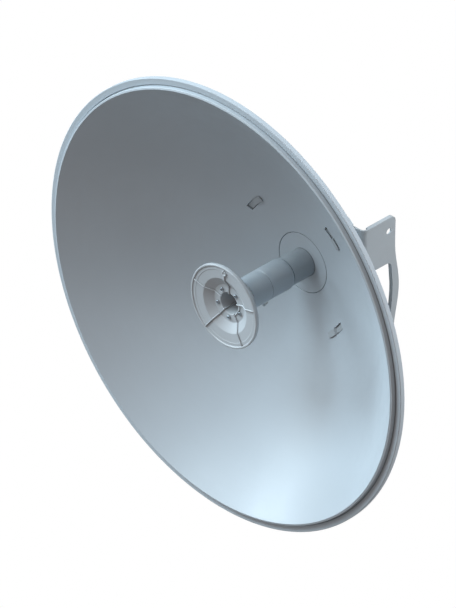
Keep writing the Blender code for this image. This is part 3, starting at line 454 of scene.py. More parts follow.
def lathe(name, points, steps, x=0.0, z=0.0, axis="Y", wobble=None):
    """Turn (radius, along) points about a line through (x, z) of the vertex frame.

    Points that start and end on the axis close there; others form a loop.
    """
    points = list(points)
    solid = points[0][0] < 1e-7 and points[-1][0] < 1e-7
    bm = bmesh.new()
    rings = []
    for radius, along in points:
        if radius < 1e-7:
            rings.append([bm.verts.new((0.0, along, 0.0))])
            continue
        ring = []
        for k in range(steps):
            a = 2 * math.pi * k / steps
            r = radius if wobble is None else wobble(radius, along, a)
            ring.append(bm.verts.new((r * math.cos(a), along, r * math.sin(a))))
        rings.append(ring)
    pairs = list(zip(rings, rings[1:]))
    if not solid:
        pairs.append((rings[-1], rings[0]))
    for a, b in pairs:
        if len(a) == 1 and len(b) == 1:
            continue
        for k in range(steps):
            j = (k + 1) % steps
            if len(a) == 1:
                bm.faces.new((a[0], b[k], b[j]))
            elif len(b) == 1:
                bm.faces.new((a[k], b[0], a[j]))
            else:
                bm.faces.new((a[k], b[k], b[j], a[j]))
    if axis == "Y":
        place = Matrix.Translation(VERTEX + Vector((x, 0.0, z)))
    else:
        place = axis
    bmesh.ops.transform(bm, matrix=place, verts=bm.verts)
    return mesh_from_bmesh(name, bm)


def smooth(mesh, degrees=32):
    mesh.shade_smooth()
    mesh.set_sharp_from_angle(angle=math.radians(degrees))


def show(name, mesh, mat, body, *nodes, slot=None, degrees=32, weighted=True):
    """A finished piece: it stands for its CAD nodes and rides on their body."""
    obj = bpy.data.objects.new(name, mesh)
    scene.collection.objects.link(obj)
    if degrees is not None:
        smooth(mesh, degrees)
    mesh.materials.clear()
    mesh.materials.append(mat)
    if weighted:
        mod = obj.modifiers.new("Weighted normals", "WEIGHTED_NORMAL")
        mod.keep_sharp = True
        mod.weight = 60
    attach(obj, body)
    if nodes:
        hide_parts(*nodes)
    return obj


def turned(name, points, steps, mat, body, node, slot, x=0.0, z=0.0, segments=3, closed=True, degrees=32, **more):
    outline = rounded(points, segments, closed)
    return show(name, lathe(name, outline, steps, x, z, **more), mat, body, node, slot=slot, degrees=degrees)


def scratch(mesh, name="cutter"):
    obj = bpy.data.objects.new(name, mesh)
    scene.collection.objects.link(obj)
    obj.hide_render = True
    WASTE.append(obj)
    return obj


WASTE = []


def combine(mesh, steps):
    """Run a list of (operation, mesh) Booleans in order; returns a new mesh."""
    base = scratch(mesh, "base")
    for operation, other in steps:
        mod = base.modifiers.new("Cut", "BOOLEAN")
        mod.operation = operation
        mod.solver = "EXACT"
        mod.object = scratch(other)
    bpy.context.view_layer.update()
    graph = bpy.context.evaluated_depsgraph_get()
    result = bpy.data.meshes.new_from_object(base.evaluated_get(graph))
    result.materials.clear()
    for obj in WASTE:
        bpy.data.objects.remove(obj, do_unlink=True)
    WASTE.clear()
    return result


def tidy(mesh, degrees=1.0, dist=0.00002):
    """Merge stray points and flat facets that a Boolean leaves."""
    bm = bmesh.new()
    bm.from_mesh(mesh)
    bmesh.ops.remove_doubles(bm, verts=bm.verts, dist=dist)
    bmesh.ops.dissolve_degenerate(bm, dist=dist, edges=bm.edges)
    if degrees:
        bmesh.ops.dissolve_limit(
            bm, angle_limit=math.radians(degrees), use_dissolve_boundaries=False,
            verts=bm.verts, edges=bm.edges,
        )
    bm.to_mesh(mesh)
    bm.free()
    return mesh


def closed_up(mesh):
    """Fill any face that a bevel or a Boolean dropped, so the piece is one closed skin."""
    bm = bmesh.new()
    bm.from_mesh(mesh)
    open_edges = [edge for edge in bm.edges if edge.is_boundary]
    if open_edges:
        bmesh.ops.holes_fill(bm, edges=open_edges, sides=0)
        bmesh.ops.recalc_face_normals(bm, faces=bm.faces)
    bm.to_mesh(mesh)
    bm.free()
    return mesh


def bevelled(mesh, width, segments=2, degrees=35):
    base = scratch(mesh, "bevel")
    mod = base.modifiers.new("Bevel", "BEVEL")
    mod.width = width
    mod.segments = segments
    mod.limit_method = "ANGLE"
    mod.angle_limit = math.radians(degrees)
    mod.miter_outer = "MITER_ARC"
    mod.use_clamp_overlap = True
    bpy.context.view_layer.update()
    graph = bpy.context.evaluated_depsgraph_get()
    result = bpy.data.meshes.new_from_object(base.evaluated_get(graph))
    result.materials.clear()
    for obj in WASTE:
        bpy.data.objects.remove(obj, do_unlink=True)
    WASTE.clear()
    return result


def plate(name, outlines, low, high, basis):
    """A flat plate from closed outlines (the later ones are holes)."""
    curve = bpy.data.curves.new(name, "CURVE")
    curve.dimensions = "2D"
    curve.fill_mode = "BOTH"
    curve.extrude = (high - low) / 2
    for outline in outlines:
        spline = curve.splines.new("POLY")
        spline.points.add(len(outline) - 1)
        for point, (x, y) in zip(spline.points, outline):
            point.co = (x, y, 0.0, 1.0)
        spline.use_cyclic_u = True
    holder = bpy.data.objects.new(name, curve)
    scene.collection.objects.link(holder)
    bpy.context.view_layer.update()
    graph = bpy.context.evaluated_depsgraph_get()
    mesh = bpy.data.meshes.new_from_object(holder.evaluated_get(graph))
    bpy.data.objects.remove(holder, do_unlink=True)
    bpy.data.curves.remove(curve)
    bm = bmesh.new()
    bm.from_mesh(mesh)
    bmesh.ops.remove_doubles(bm, verts=bm.verts, dist=0.00001)
    bmesh.ops.transform(bm, matrix=Matrix.Translation(VERTEX) @ basis @ Matrix.Translation((0, 0, (low + high) / 2)), verts=bm.verts)
    bpy.data.meshes.remove(mesh)
    return mesh_from_bmesh(name, bm)


IN_YZ = Matrix(((0, 0, 1, 0), (1, 0, 0, 0), (0, 1, 0, 0), (0, 0, 0, 1)))
IN_XY = Matrix.Identity(4)
IN_XZ = Matrix(((1, 0, 0, 0), (0, 0, 1, 0), (0, 1, 0, 0), (0, 0, 0, 1)))


def rod(radius, start, end, segments=24, radius2=None):
    """A cylinder between two points of the vertex frame."""
    start, end = VERTEX + Vector(start), VERTEX + Vector(end)
    way = end - start
    bm = bmesh.new()
    turn = way.to_track_quat("Z", "Y").to_matrix().to_4x4()
    bmesh.ops.create_cone(
        bm, cap_ends=True, segments=segments, radius1=radius,
        radius2=radius if radius2 is None else radius2, depth=way.length,
        matrix=Matrix.Translation((start + end) / 2) @ turn,
    )
    return mesh_from_bmesh("rod", bm)


def block(low, high):
    low, high = VERTEX + Vector(low), VERTEX + Vector(high)
    bm = bmesh.new()
    bmesh.ops.create_cube(bm, size=1.0, matrix=Matrix.Translation((low + high) / 2) @ Matrix.Diagonal((*(high - low), 1.0)))
    return mesh_from_bmesh("block", bm)


def sweep(name, stations):
    """A closed strip round the boresight: (degrees, ring of (radius, y))."""
    bm = bmesh.new()
    rings = []
    for degrees, corners in stations:
        ring = []
        for radius, y in corners:
            x, z = polar(radius, degrees)
            ring.append(bm.verts.new(VERTEX + Vector((x, y, z))))
        rings.append(ring)
    count = len(rings[0])
    for a, b in zip(rings, rings[1:]):
        for i in range(count):
            j = (i + 1) % count
            bm.faces.new((a[i], a[j], b[j], b[i]))
    bm.faces.new(rings[0][::-1])
    bm.faces.new(rings[-1])
    return mesh_from_bmesh(name, bm)


def loft(name, rings, close_ends=True):
    """A closed tube through rings of points in the row frame."""
    bm = bmesh.new()
    made = [[bm.verts.new(p) for p in ring] for ring in rings]
    count = len(made[0])
    for a, b in zip(made, made[1:]):
        for i in range(count):
            j = (i + 1) % count
            bm.faces.new((a[i], a[j], b[j], b[i]))
    if close_ends:
        bm.faces.new(made[0][::-1])
        bm.faces.new(made[-1])
    return mesh_from_bmesh(name, bm)


def bowl_y(radius):
    return -radius * radius / (4 * FOCAL)


def bowl_back(radius, depth=SKIN):
    slope = radius / (2 * FOCAL)
    length = math.hypot(1.0, slope)
    return radius + depth * slope / length, bowl_y(radius) + depth / length


# ============================================================== reflector
def reflector_mesh(steps=256):
    rim = -DEPTH
    rings = 30
    radii = [REFLECTOR_HOLE_R + 0.0004 + (BOWL_R - REFLECTOR_HOLE_R - 0.0004) * k / rings for k in range(rings + 1)]
    front = [(r, bowl_y(r), 0.0) for r in radii]
    front += [
        (0.3119, rim - 0.0044, 0.0009), (0.3138, rim - 0.0044, 0.0010),
        (0.3144, rim + 0.0024, 0.0005), (0.3154, rim + 0.0024, 0.0005), (0.3159, rim + 0.0012, 0.0005),
        (RIM_R, rim, 0.0011), (RIM_R, rim + 0.0075, 0.0005),
        (0.3234, rim + 0.0075, 0.0005), (0.3234, rim + 0.0018, 0.0008), (0.3176, rim + 0.0028, 0.0008),
        (0.3168, rim + 0.0040, 0.0008), (0.3130, rim + 0.0040, 0.0010),
    ]
    back = [(*bowl_back(r), 0.0) for r in radii[1:]]
    back = [(r, y, 0.0) for r, y, _ in back]
    start = [(REFLECTOR_HOLE_R, bowl_y(REFLECTOR_HOLE_R) + SKIN, 0.0003), (REFLECTOR_HOLE_R, bowl_y(REFLECTOR_HOLE_R) + 0.0004, 0.0)]
    outline = front + back[::-1] + start
    outline = rounded(outline, 4)
    return lathe("reflector", outline, steps)


def slot_mesh(middle):
    """One hook slot: a curved oblong with rounded corners."""
    low, high = middle - 1.0, middle + 10.0
    inner, outer = HOOK_R - HOOK_W / 2 - 0.0009, HOOK_R + HOOK_W / 2 + 0.0009
    arc = HOOK_R
    corner = 0.0014
    stations = []
    for i in range(25):
        t = i / 24
        s = (1 - math.cos(math.pi * t)) / 2
        degrees = low + (high - low) * s
        run = min(s, 1 - s) * math.radians(high - low) * arc
        pinch = corner - math.sqrt(max(0.0, corner ** 2 - max(0.0, corner - run) ** 2))
        stations.append((degrees, [(inner + pinch, -0.040), (outer - pinch, -0.040), (outer - pinch, 0.005), (inner + pinch, 0.005)]))
    return sweep("slot", stations)


dish_mesh = combine(reflector_mesh(), [("DIFFERENCE", slot_mesh(a)) for a in HOOK_ANGLES])


def bowl_normals(mesh):
    """Exact surface normals on the bowl, so that cut facets don't show."""
    mesh.shade_smooth()
    mesh.set_sharp_from_angle(angle=math.radians(32))
    mesh.update()
    loops = len(mesh.loops)
    normals = np.empty(loops * 3, np.float32)
    mesh.corner_normals.foreach_get("vector", normals)
    normals = normals.reshape(-1, 3)
    index = np.empty(loops, np.int32)
    mesh.loops.foreach_get("vertex_index", index)
    points = np.empty(len(mesh.vertices) * 3, np.float32)
    mesh.vertices.foreach_get("co", points)
    points = points.reshape(-1, 3)[index] - np.array(VERTEX, np.float32)
    starts = np.empty(len(mesh.polygons), np.int32)
    totals = np.empty(len(mesh.polygons), np.int32)
    mesh.polygons.foreach_get("loop_start", starts)
    mesh.polygons.foreach_get("loop_total", totals)
    faces = np.empty(len(mesh.polygons) * 3, np.float32)
    mesh.polygons.foreach_get("normal", faces)
    face_of = np.repeat(np.arange(len(starts)), totals)
    face_normal = faces.reshape(-1, 3)[face_of]
    radius = np.hypot(points[:, 0], points[:, 2])
    slope = radius / (2 * FOCAL)
    true = np.stack([-slope * points[:, 0] / radius, -np.ones_like(radius), -slope * points[:, 2] / radius], 1)
    true /= np.linalg.norm(true, axis=1)[:, None]
    facing = (true * face_normal).sum(1)
    bowl = (radius < BOWL_R - 0.001) & (radius > REFLECTOR_HOLE_R + 0.0006)
    front = bowl & (facing > 0.95)
    back = bowl & (facing < -0.95)
    normals[front] = true[front]
    normals[back] = -true[back]
    # Round the rim each face keeps its own slope, and only the small radii blend.
    areas = np.empty(len(mesh.polygons), np.float32)
    mesh.polygons.foreach_get("area", areas)
    weighted = np.zeros((len(mesh.vertices), 3))
    np.add.at(weighted, index, face_normal * (areas[face_of] ** 2)[:, None].astype(np.float64) * 1e12)
    weighted /= np.maximum(np.linalg.norm(weighted, axis=1), 1e-20)[:, None]
    rim = (radius > BOWL_R - 0.0002)
    normals[rim] = weighted[index[rim]]
    mesh.normals_split_custom_set(normals.tolist())


dish = show("reflector_shell", dish_mesh, M_DISH, "dish", "reflector", slot="reflector_paint", degrees=None, weighted=False)
bowl_normals(dish.data)


# ================================================================ bracket
def arm_outline(segments=8):
    corners = [(WEB_Y - 0.004, ARM_TOP_Z, 0.0), (0.0800, ARM_TOP_Z, 0.0080), (0.0800, 0.0360, 0.0)]
    for k in range(1, 24):
        t = k / 24
        corners.append((0.0800 + 0.0087 * math.sin(math.pi * t) ** 2, 0.0360 - 0.1440 * t, 0.0))
    corners += [
        (0.0800, -0.1080, 0.0), (0.0800, ARM_BOTTOM_Z, 0.0100), (0.0300, ARM_BOTTOM_Z, 0.0100),
        (0.0260, -0.1100, 0.0060), (WEB_Y - 0.004, WEB_BOTTOM_Z, 0.0),
    ]
    return rounded(corners, segments)


def window_outline(segments=8):
    corners = [
        (0.0310, 0.0080, 0.0090), (0.0730, 0.0080, 0.0100), (0.0765, -0.0300, 0.0400),
        (0.0765, -0.0430, 0.0400), (0.0735, -0.0810, 0.0090), (0.0310, -0.0810, 0.0090),
    ]
    return rounded(corners, segments)


def channel_outline(segments=8):
    right = []
    centre = (ARM_X - BEND_R, WEB_Y + BEND_R)
    for k in range(segments + 1):
        a = -math.pi / 2 + math.pi / 2 * k / segments
        right.append((centre[0] + BEND_R * math.cos(a), centre[1] + BEND_R * math.sin(a)))
    right += [(ARM_X, 0.0950), (ARM_X - ARM_EDGE, 0.0950), (ARM_X - ARM_EDGE, FLANGE_START_Y), (ARM_X - SHEET, FLANGE_START_Y)]
    inner_r = BEND_R - SHEET
    for k in range(segments + 1):
        a = -math.pi / 2 * k / segments
        right.append((centre[0] + inner_r * math.cos(a), centre[1] + inner_r * math.sin(a)))
    return right + [(-x, y) for x, y in right[::-1]]


def hook_y(radius, raised):
    back = SKIN * math.hypot(1.0, radius / (2 * FOCAL))
    if raised:
        return bowl_y(radius) - GAP * 1.3 - HOOK_T
    return bowl_y(radius) + back + GAP * 1.3


def hook_section(lift, inset=0.0):
    """Cross-section of the strap at one station, with rounded edges."""
    inner, outer = HOOK_R - HOOK_W / 2 + inset, HOOK_R + HOOK_W / 2 - inset
    corners = []
    for radius, under in ((inner, 0), (outer, 0), (outer, 1), (inner, 1)):
        y = lift * hook_y(radius, True) + (1 - lift) * hook_y(radius, False)
        corners.append((radius, y + (HOOK_T - inset if under else inset), 0.0005))
    return rounded(corners, 2)


def hook_strap(middle):
    stations = []
    angles = [-9.1, -8.9, -8.6] + [-8.0 + 1.0 * k for k in range(7)]
    angles += [-0.75 + 0.25 * k for k in range(7)] + [1.5 + 1.1 * k for k in range(7)] + [8.8, 9.1, 9.2]
    for degrees in angles:
        t = (degrees + 0.70) / 1.40
        t = min(1.0, max(0.0, t))
        lift = 1.0 - t * t * (3 - 2 * t)
        edge = min(degrees + 9.1, 9.2 - degrees) * math.radians(1) * HOOK_R
        inset = 0.00045 * max(0.0, 1 - edge / 0.0008)
        stations.append((middle + degrees, hook_section(lift, inset)))
    return sweep("strap", stations)


def hook_leg(middle):
    stations = []
    inner, outer = HOOK_R - 0.0002, HOOK_R + 0.0023
    top = hook_y(HOOK_R, False) + HOOK_T * 0.5
    foot = WEB_Y + SHEET * 0.6
    for k in range(7):
        stations.append((middle + 1.2 + 7.6 * k / 6, [(inner, top), (outer, top), (outer, foot), (inner, foot)]))
    return sweep("leg", stations)


def hook_tab(middle):
    low, high = WEB_Y + 0.0001, WEB_Y + SHEET - 0.0001
    stations = []
    for k in range(9):
        t = k / 8
        outer = 0.1062 - 0.0025 * (2 * t - 1) ** 8
        stations.append((middle + 0.6 + 8.6 * t, [(0.080, low), (outer, low), (outer, high), (0.080, high)]))
    return sweep("tab", stations)


def hook_seat(middle):
    """Seat plate on the leg, close behind the reflector's back."""
    stations = []
    for k in range(21):
        t = k / 20
        degrees = -6.0 + 20.5 * t
        round_off = 0.0030 * (1 - math.sqrt(max(0.0, 1 - max(0.0, abs(2 * t - 1) - 0.80) ** 2 / 0.04)))
        low, high = 0.0895 + round_off, 0.1135 - round_off
        ring = []
        for under in (0, 1):
            radii = [low + (high - low) * i / 6 for i in range(7)]
            for radius in radii if not under else radii[::-1]:
                ring.append((radius, hook_y(radius, False) + HOOK_T + 0.0006 + under * 0.0020))
        stations.append((middle + degrees, ring))
    return sweep("seat", stations)


def bracket_mesh():
    steps = [("INTERSECT", plate("side", [arm_outline()], -0.100, 0.100, IN_YZ))]
    steps.append(("DIFFERENCE", block((-ARM_X + BEND_R, 0.010, -0.200), (ARM_X - BEND_R, 0.0260, WEB_BOTTOM_Z))))
    for side in (-1, 1):
        low, high = side * (ARM_X - SHEET), side * (ARM_X - ARM_EDGE - 0.004)
        pocket = [(y if y > 0.040 else 0.0277, z) for y, z in offset_outline(arm_outline(), -SHEET)]
        surround = offset_outline(window_outline(), SHEET)
        steps.append(("DIFFERENCE", plate("pocket", [pocket, surround], min(low, high), max(low, high), IN_YZ)))
    steps.append(("DIFFERENCE", plate("window", [window_outline()], -0.110, 0.110, IN_YZ)))
    steps.append(("DIFFERENCE", rod(WEB_HOLE_R, (0, 0.010, 0), (0, 0.030, 0), 96)))
    for k in range(4):
        x, z = polar(COLLAR_SCREW_CIRCLE_R, 45 + 90 * k)
        steps.append(("DIFFERENCE", rod(0.0023, (x, 0.010, z), (x, 0.030, z), 24)))
    for y, z, r in ((0.0675, 0.0580, 0.0045), (PIVOT_Y, PIVOT_Z, BOLT_R + GAP), (PIVOT_Y, PIVOT_Z + LOCK_RADIUS, BOLT_R + GAP)):
        steps.append(("DIFFERENCE", rod(r, (-0.110, y, z), (0.110, y, z), 40)))
    for middle in HOOK_ANGLES:
        steps.append(("UNION", hook_seat(middle)))
        steps.append(("UNION", hook_tab(middle)))
        steps.append(("UNION", hook_leg(middle)))
    mesh = combine(plate("channel", [channel_outline()], -0.160, 0.0812, IN_XY), steps)
    mesh = tidy(mesh)
    mesh = bevelled(mesh, 0.0005, 2)
    return closed_up(combine(mesh, [("UNION", hook_strap(a)) for a in HOOK_ANGLES]))


bracket = show("pressed_bracket", bracket_mesh(), M_BRACKET, "bracket", "rear_bracket", slot="bracket_paint", degrees=35)


# =================================================================== feed
def ring_profile(points, radius=0.0004):
    return [(r, y, radius) for r, y in points]


disc_points = [(TUBE_R + GAP, bowl_y(TUBE_R) - 0.0004, 0.0002)]
disc_points += [(r, bowl_y(r), 0.0) for r in (0.0230, 0.0260, 0.0290, 0.0320, 0.0350, 0.0380, 0.0410)]
disc_points += [(BASE_DISC_R, bowl_y(BASE_DISC_R), 0.0004), (BASE_DISC_R, 0.0022, 0.0003), (TUBE_R + GAP, 0.0022, 0.0003)]
turned("base_disc", disc_points, 128, M_DISC, "feed", "feed_base_disc", "feed_paint")
turned("base_seal", ring_profile([(0.0385, 0.0025), (0.0410, 0.0025), (0.0410, 0.0037), (0.0385, 0.0037)], 0.0005), 96, M_RUBBER, "feed", "base_gasket", "seal_rubber", segments=5, degrees=60)
turned(
    "wave_tube",
    [(TUBE_BORE_R, TUBE_FRONT_Y, 0.0003), (TUBE_R, TUBE_FRONT_Y, 0.0003), (TUBE_R, SLEEVE_REAR_Y - 0.0004, 0.0001),
     (TUBE_R - 0.0010, SLEEVE_REAR_Y - 0.0003, 0.0001), (TUBE_R - 0.0010, SLEEVE_REAR_Y + 0.0016, 0.0002), (TUBE_R, SLEEVE_REAR_Y + 0.0019, 0.0002),
     (TUBE_R, 0.0300, 0.0003), (TUBE_BORE_R, 0.0300, 0.0003)],
    160, M_TUBE, "feed", "waveguide_tube", "feed_paint",
)
turned(
    "sleeve_rear",
    [(TUBE_R + 0.0002, SLEEVE_JOINT_Y + GAP / 2, 0.0002), (SLEEVE_R - 0.0007, SLEEVE_JOINT_Y + GAP / 2, 0.0002),
     (SLEEVE_R, SLEEVE_JOINT_Y + 0.0012, 0.0003), (SLEEVE_R, SLEEVE_REAR_Y - 0.0036, 0.0010),
     (TUBE_R + 0.0011, SLEEVE_REAR_Y - 0.0004, 0.0003), (TUBE_R + 0.0009, SLEEVE_REAR_Y, 0.0002),
     (TUBE_R + 0.0002, SLEEVE_REAR_Y, 0.0001)],
    160, M_SLEEVE, "feed", "feed_sleeve_rear", "feed_paint",
)
turned(
    "sleeve_front",
    [(TUBE_R + 0.0002, SLEEVE_FRONT_Y, 0.0002), (SLEEVE_R, SLEEVE_FRONT_Y, 0.0003),
     (SLEEVE_R, SLEEVE_JOINT_Y - 0.0005, 0.0003), (SLEEVE_R - 0.0004, SLEEVE_JOINT_Y - GAP / 2, 0.0002), (TUBE_R + 0.0002, SLEEVE_JOINT_Y - GAP / 2, 0.0002)],
    160, M_SLEEVE, "feed", "feed_sleeve_front", "feed_paint",
)

# The splash plate: face depths below its rim plane.
CUP_R = 0.0160
CUP_DEPTH = 0.0345
RECESS = 0.0112
SUB_FACE = [
    (CUP_R, CUP_DEPTH, 0.0010), (CUP_R, RECESS, 0.0008), (0.0278, RECESS, 0.0014),
    (0.0402, 0.0030, 0.0020), (0.0527, 0.0019, 0.0012), (0.0533, 0.0015, 0.0010),
    (0.0577, 0.0014, 0.0005), (0.0584, 0.0001, 0.0011), (SUB_R, 0.0001, 0.0014),
]
SUB_BACK = [
    (SUB_R, 0.0048, 0.0010), (0.0589, 0.0074, 0.0010), (0.0420, 0.0100, 0.0020), (0.0290, 0.0134, 0.0020),
    (0.0190, 0.0148, 0.0006), (0.0190, 0.0290, 0.0006), (0.0181, 0.0290, 0.0003), (0.0181, 0.0363, 0.0008), (0.0, 0.0363, 0.0),
]
sub_outline = [(r, SUB_FACE_Y + d) for r, d in rounded([(0.0, CUP_DEPTH, 0.0)] + SUB_FACE + SUB_BACK, 5, closed=False)]


def ridge(degrees, path, width, height, fade=0.0010):
    """A half-round wire that follows a (radius, depth) path along one radius."""
    a = math.radians(degrees)
    out = Vector((math.cos(a), 0.0, math.sin(a)))
    side = Vector((-math.sin(a), 0.0, math.cos(a)))
    back = Vector((0.0, 1.0, 0.0))
    fine = [Vector(path[0])]
    for p, q in zip(path, path[1:]):
        p, q = Vector(p), Vector(q)
        count = max(1, int((q - p).length / 0.0010))
        fine += [p.lerp(q, k / count) for k in range(1, count + 1)]
    lengths = [0.0]
    for p, q in zip(fine, fine[1:]):
        lengths.append(lengths[-1] + (q - p).length)
    total = lengths[-1]
    rings = []
    for i, p in enumerate(fine):
        way = (fine[min(i + 1, len(fine) - 1)] - fine[max(i - 1, 0)]).normalized()
        normal = Vector((way.y, -way.x))
        near = min(lengths[i], total - lengths[i])
        full = math.sqrt(max(0.0, 1 - (1 - min(1.0, near / fade + 0.12)) ** 2))
        ring = []
        for k in range(11):
            b = math.pi * k / 10
            w = math.copysign(abs(math.cos(b)) ** 0.8, math.cos(b)) * width / 2
            h = math.sin(b) ** 0.8 * height * full
            ring.append(VERTEX + out * (p.x + normal.x * h) + back * (SUB_FACE_Y + p.y + normal.y * h) + side * w)
        for w in (-width / 2, width / 2):
            ring.append(VERTEX + out * (p.x - normal.x * 0.0007) + back * (SUB_FACE_Y + p.y - normal.y * 0.0007) + side * w)
        rings.append(ring)
    return loft("ridge", rings)


def sub_mesh():
    steps = []
    path = rounded([
        (0.0149, RECESS, 0.0), (0.0278, RECESS, 0.0016), (0.0402, 0.0030, 0.0022),
        (0.0527, 0.0019, 0.0012), (0.0533, 0.0015, 0.0010), (0.0580, 0.0014, 0.0),
    ], 4, closed=False)
    for degrees in SUB_RIB_ANGLES:
        steps.append(("UNION", ridge(degrees, path, 0.0021, 0.0017)))
    # The lower left rib goes on down the wall of the cup.
    steps.append(("UNION", ridge(234, [(CUP_R, CUP_DEPTH - 0.0006), (CUP_R, RECESS - 0.0003)], 0.0021, 0.0016)))
    # A low lip joins the ends of the two ribs on the right.
    stations = []
    marks = [(18, 0.0200), (4, 0.0200), (-6, 0.0190), (-15, 0.0176), (-34, 0.0174), (-54, 0.0174)]
    for (a0, r0), (a1, r1) in zip(marks, marks[1:]):
        for k in range(5):
            t = k / 5
            stations.append((a0 + (a1 - a0) * t, r0 + (r1 - r0) * t))
    stations.append(marks[-1])
    rings = []
    for degrees, radius in stations[::-1]:
        ring = [(radius + 0.0008 * math.cos(math.pi * k / 8), SUB_FACE_Y + RECESS - 0.0012 * math.sin(math.pi * k / 8)) for k in range(9)]
        ring += [(radius - 0.0008, SUB_FACE_Y + RECESS + 0.0007), (radius + 0.0008, SUB_FACE_Y + RECESS + 0.0007)]
        rings.append((degrees, ring))
    steps.append(("UNION", sweep("lip", rings)))
    # A round boss with a dimple stands at the outer end of the top rib.
    boss = rounded([
        (0.0, 0.0010, 0.0), (0.0020, 0.0011, 0.0004), (0.0026, 0.0002, 0.0005), (0.0040, 0.0002, 0.0008), (0.0044, 0.0022, 0.0003), (0.0044, 0.0050, 0.0), (0.0, 0.0050, 0.0),
    ], 4, closed=False)
    steps.append(("DIFFERENCE", rod(0.0024, (0.0005, SUB_FACE_Y - 0.0030, 0.0518), (0.0005, SUB_FACE_Y + 0.0030, 0.0518), 32)))
    steps.append(("UNION", lathe("boss", [(r, SUB_FACE_Y + d) for r, d in boss], 40, 0.0005, 0.0518)))
    for degrees in SUB_SCREW_ANGLES:
        x, z = polar(SUB_SCREW_CIRCLE_R, degrees)
        steps.append(("DIFFERENCE", rod(0.0017, (x, SUB_FACE_Y + 0.002, z), (x, SUB_FACE_Y + 0.020, z), 24)))
    return combine(lathe("sub", sub_outline, 160), steps)


show("splash_plate", sub_mesh(), M_SUB, "feed", "subreflector", slot="splash_plastic", degrees=32)
turned(
    "lens_cone",
    [
        (0.0194, SUB_FACE_Y + 0.0153, 0.0003), (0.0290, SUB_FACE_Y + 0.0139, 0.0010), (0.0420, SUB_FACE_Y + 0.0105, 0.0010),
        (0.0560, SUB_FACE_Y + 0.0092, 0.0003), (0.0545, SUB_FACE_Y + 0.0104, 0.0010), (0.0440, SUB_FACE_Y + 0.0180, 0.0060),
        (0.0300, SUB_FACE_Y + 0.0290, 0.0060), (SLEEVE_R, SLEEVE_FRONT_Y - GAP, 0.0006), (TUBE_R + GAP, SLEEVE_FRONT_Y - GAP, 0.0002),
        (TUBE_R + GAP, -0.1233, 0.0002), (0.0194, -0.1233, 0.0002),
    ],
    128, M_CONE, "feed", "dielectric_cone", "dielectric", segments=5,
)


def star_recess(x, y, z, radius, depth, points=6):
    """A six-lobe driver recess cut from the front (-Y) at y."""
    outline = []
    for k in range(points * 4):
        a = 2 * math.pi * k / (points * 4)
        r = radius * (1.0 + 0.16 * math.cos(points * a))
        outline.append((x + r * math.cos(a), z + r * math.sin(a)))
    return plate("recess", [outline], y - 0.001, y + depth, IN_XZ)


head_y = SUB_FACE_Y + RECESS - GAP
for k, degrees in enumerate(SUB_SCREW_ANGLES):
    x, z = polar(SUB_SCREW_CIRCLE_R, degrees)
    body = lathe(
        "screw",
        rounded([(0.0, head_y - 0.0018, 0.0), (0.0027, head_y - 0.0018, 0.0011), (0.0027, head_y, 0.0002), (0.0014, head_y, 0.0001),
                 (0.0014, SUB_FACE_Y + 0.0208, 0.0003), (0.0, SUB_FACE_Y + 0.0208, 0.0)], 4, closed=False),
        40, x, z,
    )
    mesh = closed_up(combine(body, [("DIFFERENCE", star_recess(x, head_y - 0.0018, z, 0.00125, 0.0013))]))
    show(f"splash_screw_{k + 1}", mesh, M_STEEL, "feed", f"subreflector_screw_{k + 1}", slot="fastener_steel", degrees=40)


# ---------------------------------------------------------- collar and ring
def collar_mesh():
    outline = rounded([
        (COLLAR_BORE_R, 0.0040, 0.0006), (COLLAR_R, 0.0040, 0.0005), (COLLAR_R + 0.0030, 0.0080, 0.0010),
        (0.0470, 0.0080, 0.0008), (0.0470, -0.0012, 0.0004), (0.0560, -0.0030, 0.0006), (0.0560, WEB_Y - GAP, 0.0010),
        (COLLAR_R, WEB_Y - GAP, 0.0003), (COLLAR_R, 0.0385, 0.0006), (COLLAR_BORE_R, 0.0385, 0.0005),
    ], 3)
    steps = []
    for k in range(4):
        x, z = polar(COLLAR_SCREW_CIRCLE_R, 45 + 90 * k)
        steps.append(("DIFFERENCE", rod(0.0022, (x, 0.0090, z), (x, 0.030, z), 24)))
    # Shallow flutes lighten the casting's outer wall between the screws.
    for k in range(24):
        if k % 6 == 3:
            continue
        x, z = polar(0.0575, 15 * k)
        steps.append(("DIFFERENCE", rod(0.0030, (x, 0.0015, z), (x, 0.0150, z), 20)))
    return combine(lathe("collar", outline, 120), steps)


show("cast_collar", collar_mesh(), M_CAST, "bracket", "feed_collar", slot="cast_alloy", degrees=35)
for k in range(4):
    x, z = polar(COLLAR_SCREW_CIRCLE_R, 45 + 90 * k)
    top = WEB_Y + SHEET + GAP
    body = lathe(
        "screw",
        rounded([(0.0, 0.0250, 0.0), (0.0038, 0.0250, 0.0016), (0.0038, top, 0.0002), (0.0019, top, 0.0001), (0.0019, 0.0100, 0.0003), (0.0, 0.0100, 0.0)], 4, closed=False),
        40, x, z,
    )
    recess = star_recess(x, 0.0242, z, 0.0017, 0.0015)
    show(f"collar_fixing_{k + 1}", combine(body, [("DIFFERENCE", recess)]), M_STEEL, "bracket", f"collar_screw_{k + 1}", slot="fastener_steel", degrees=40)


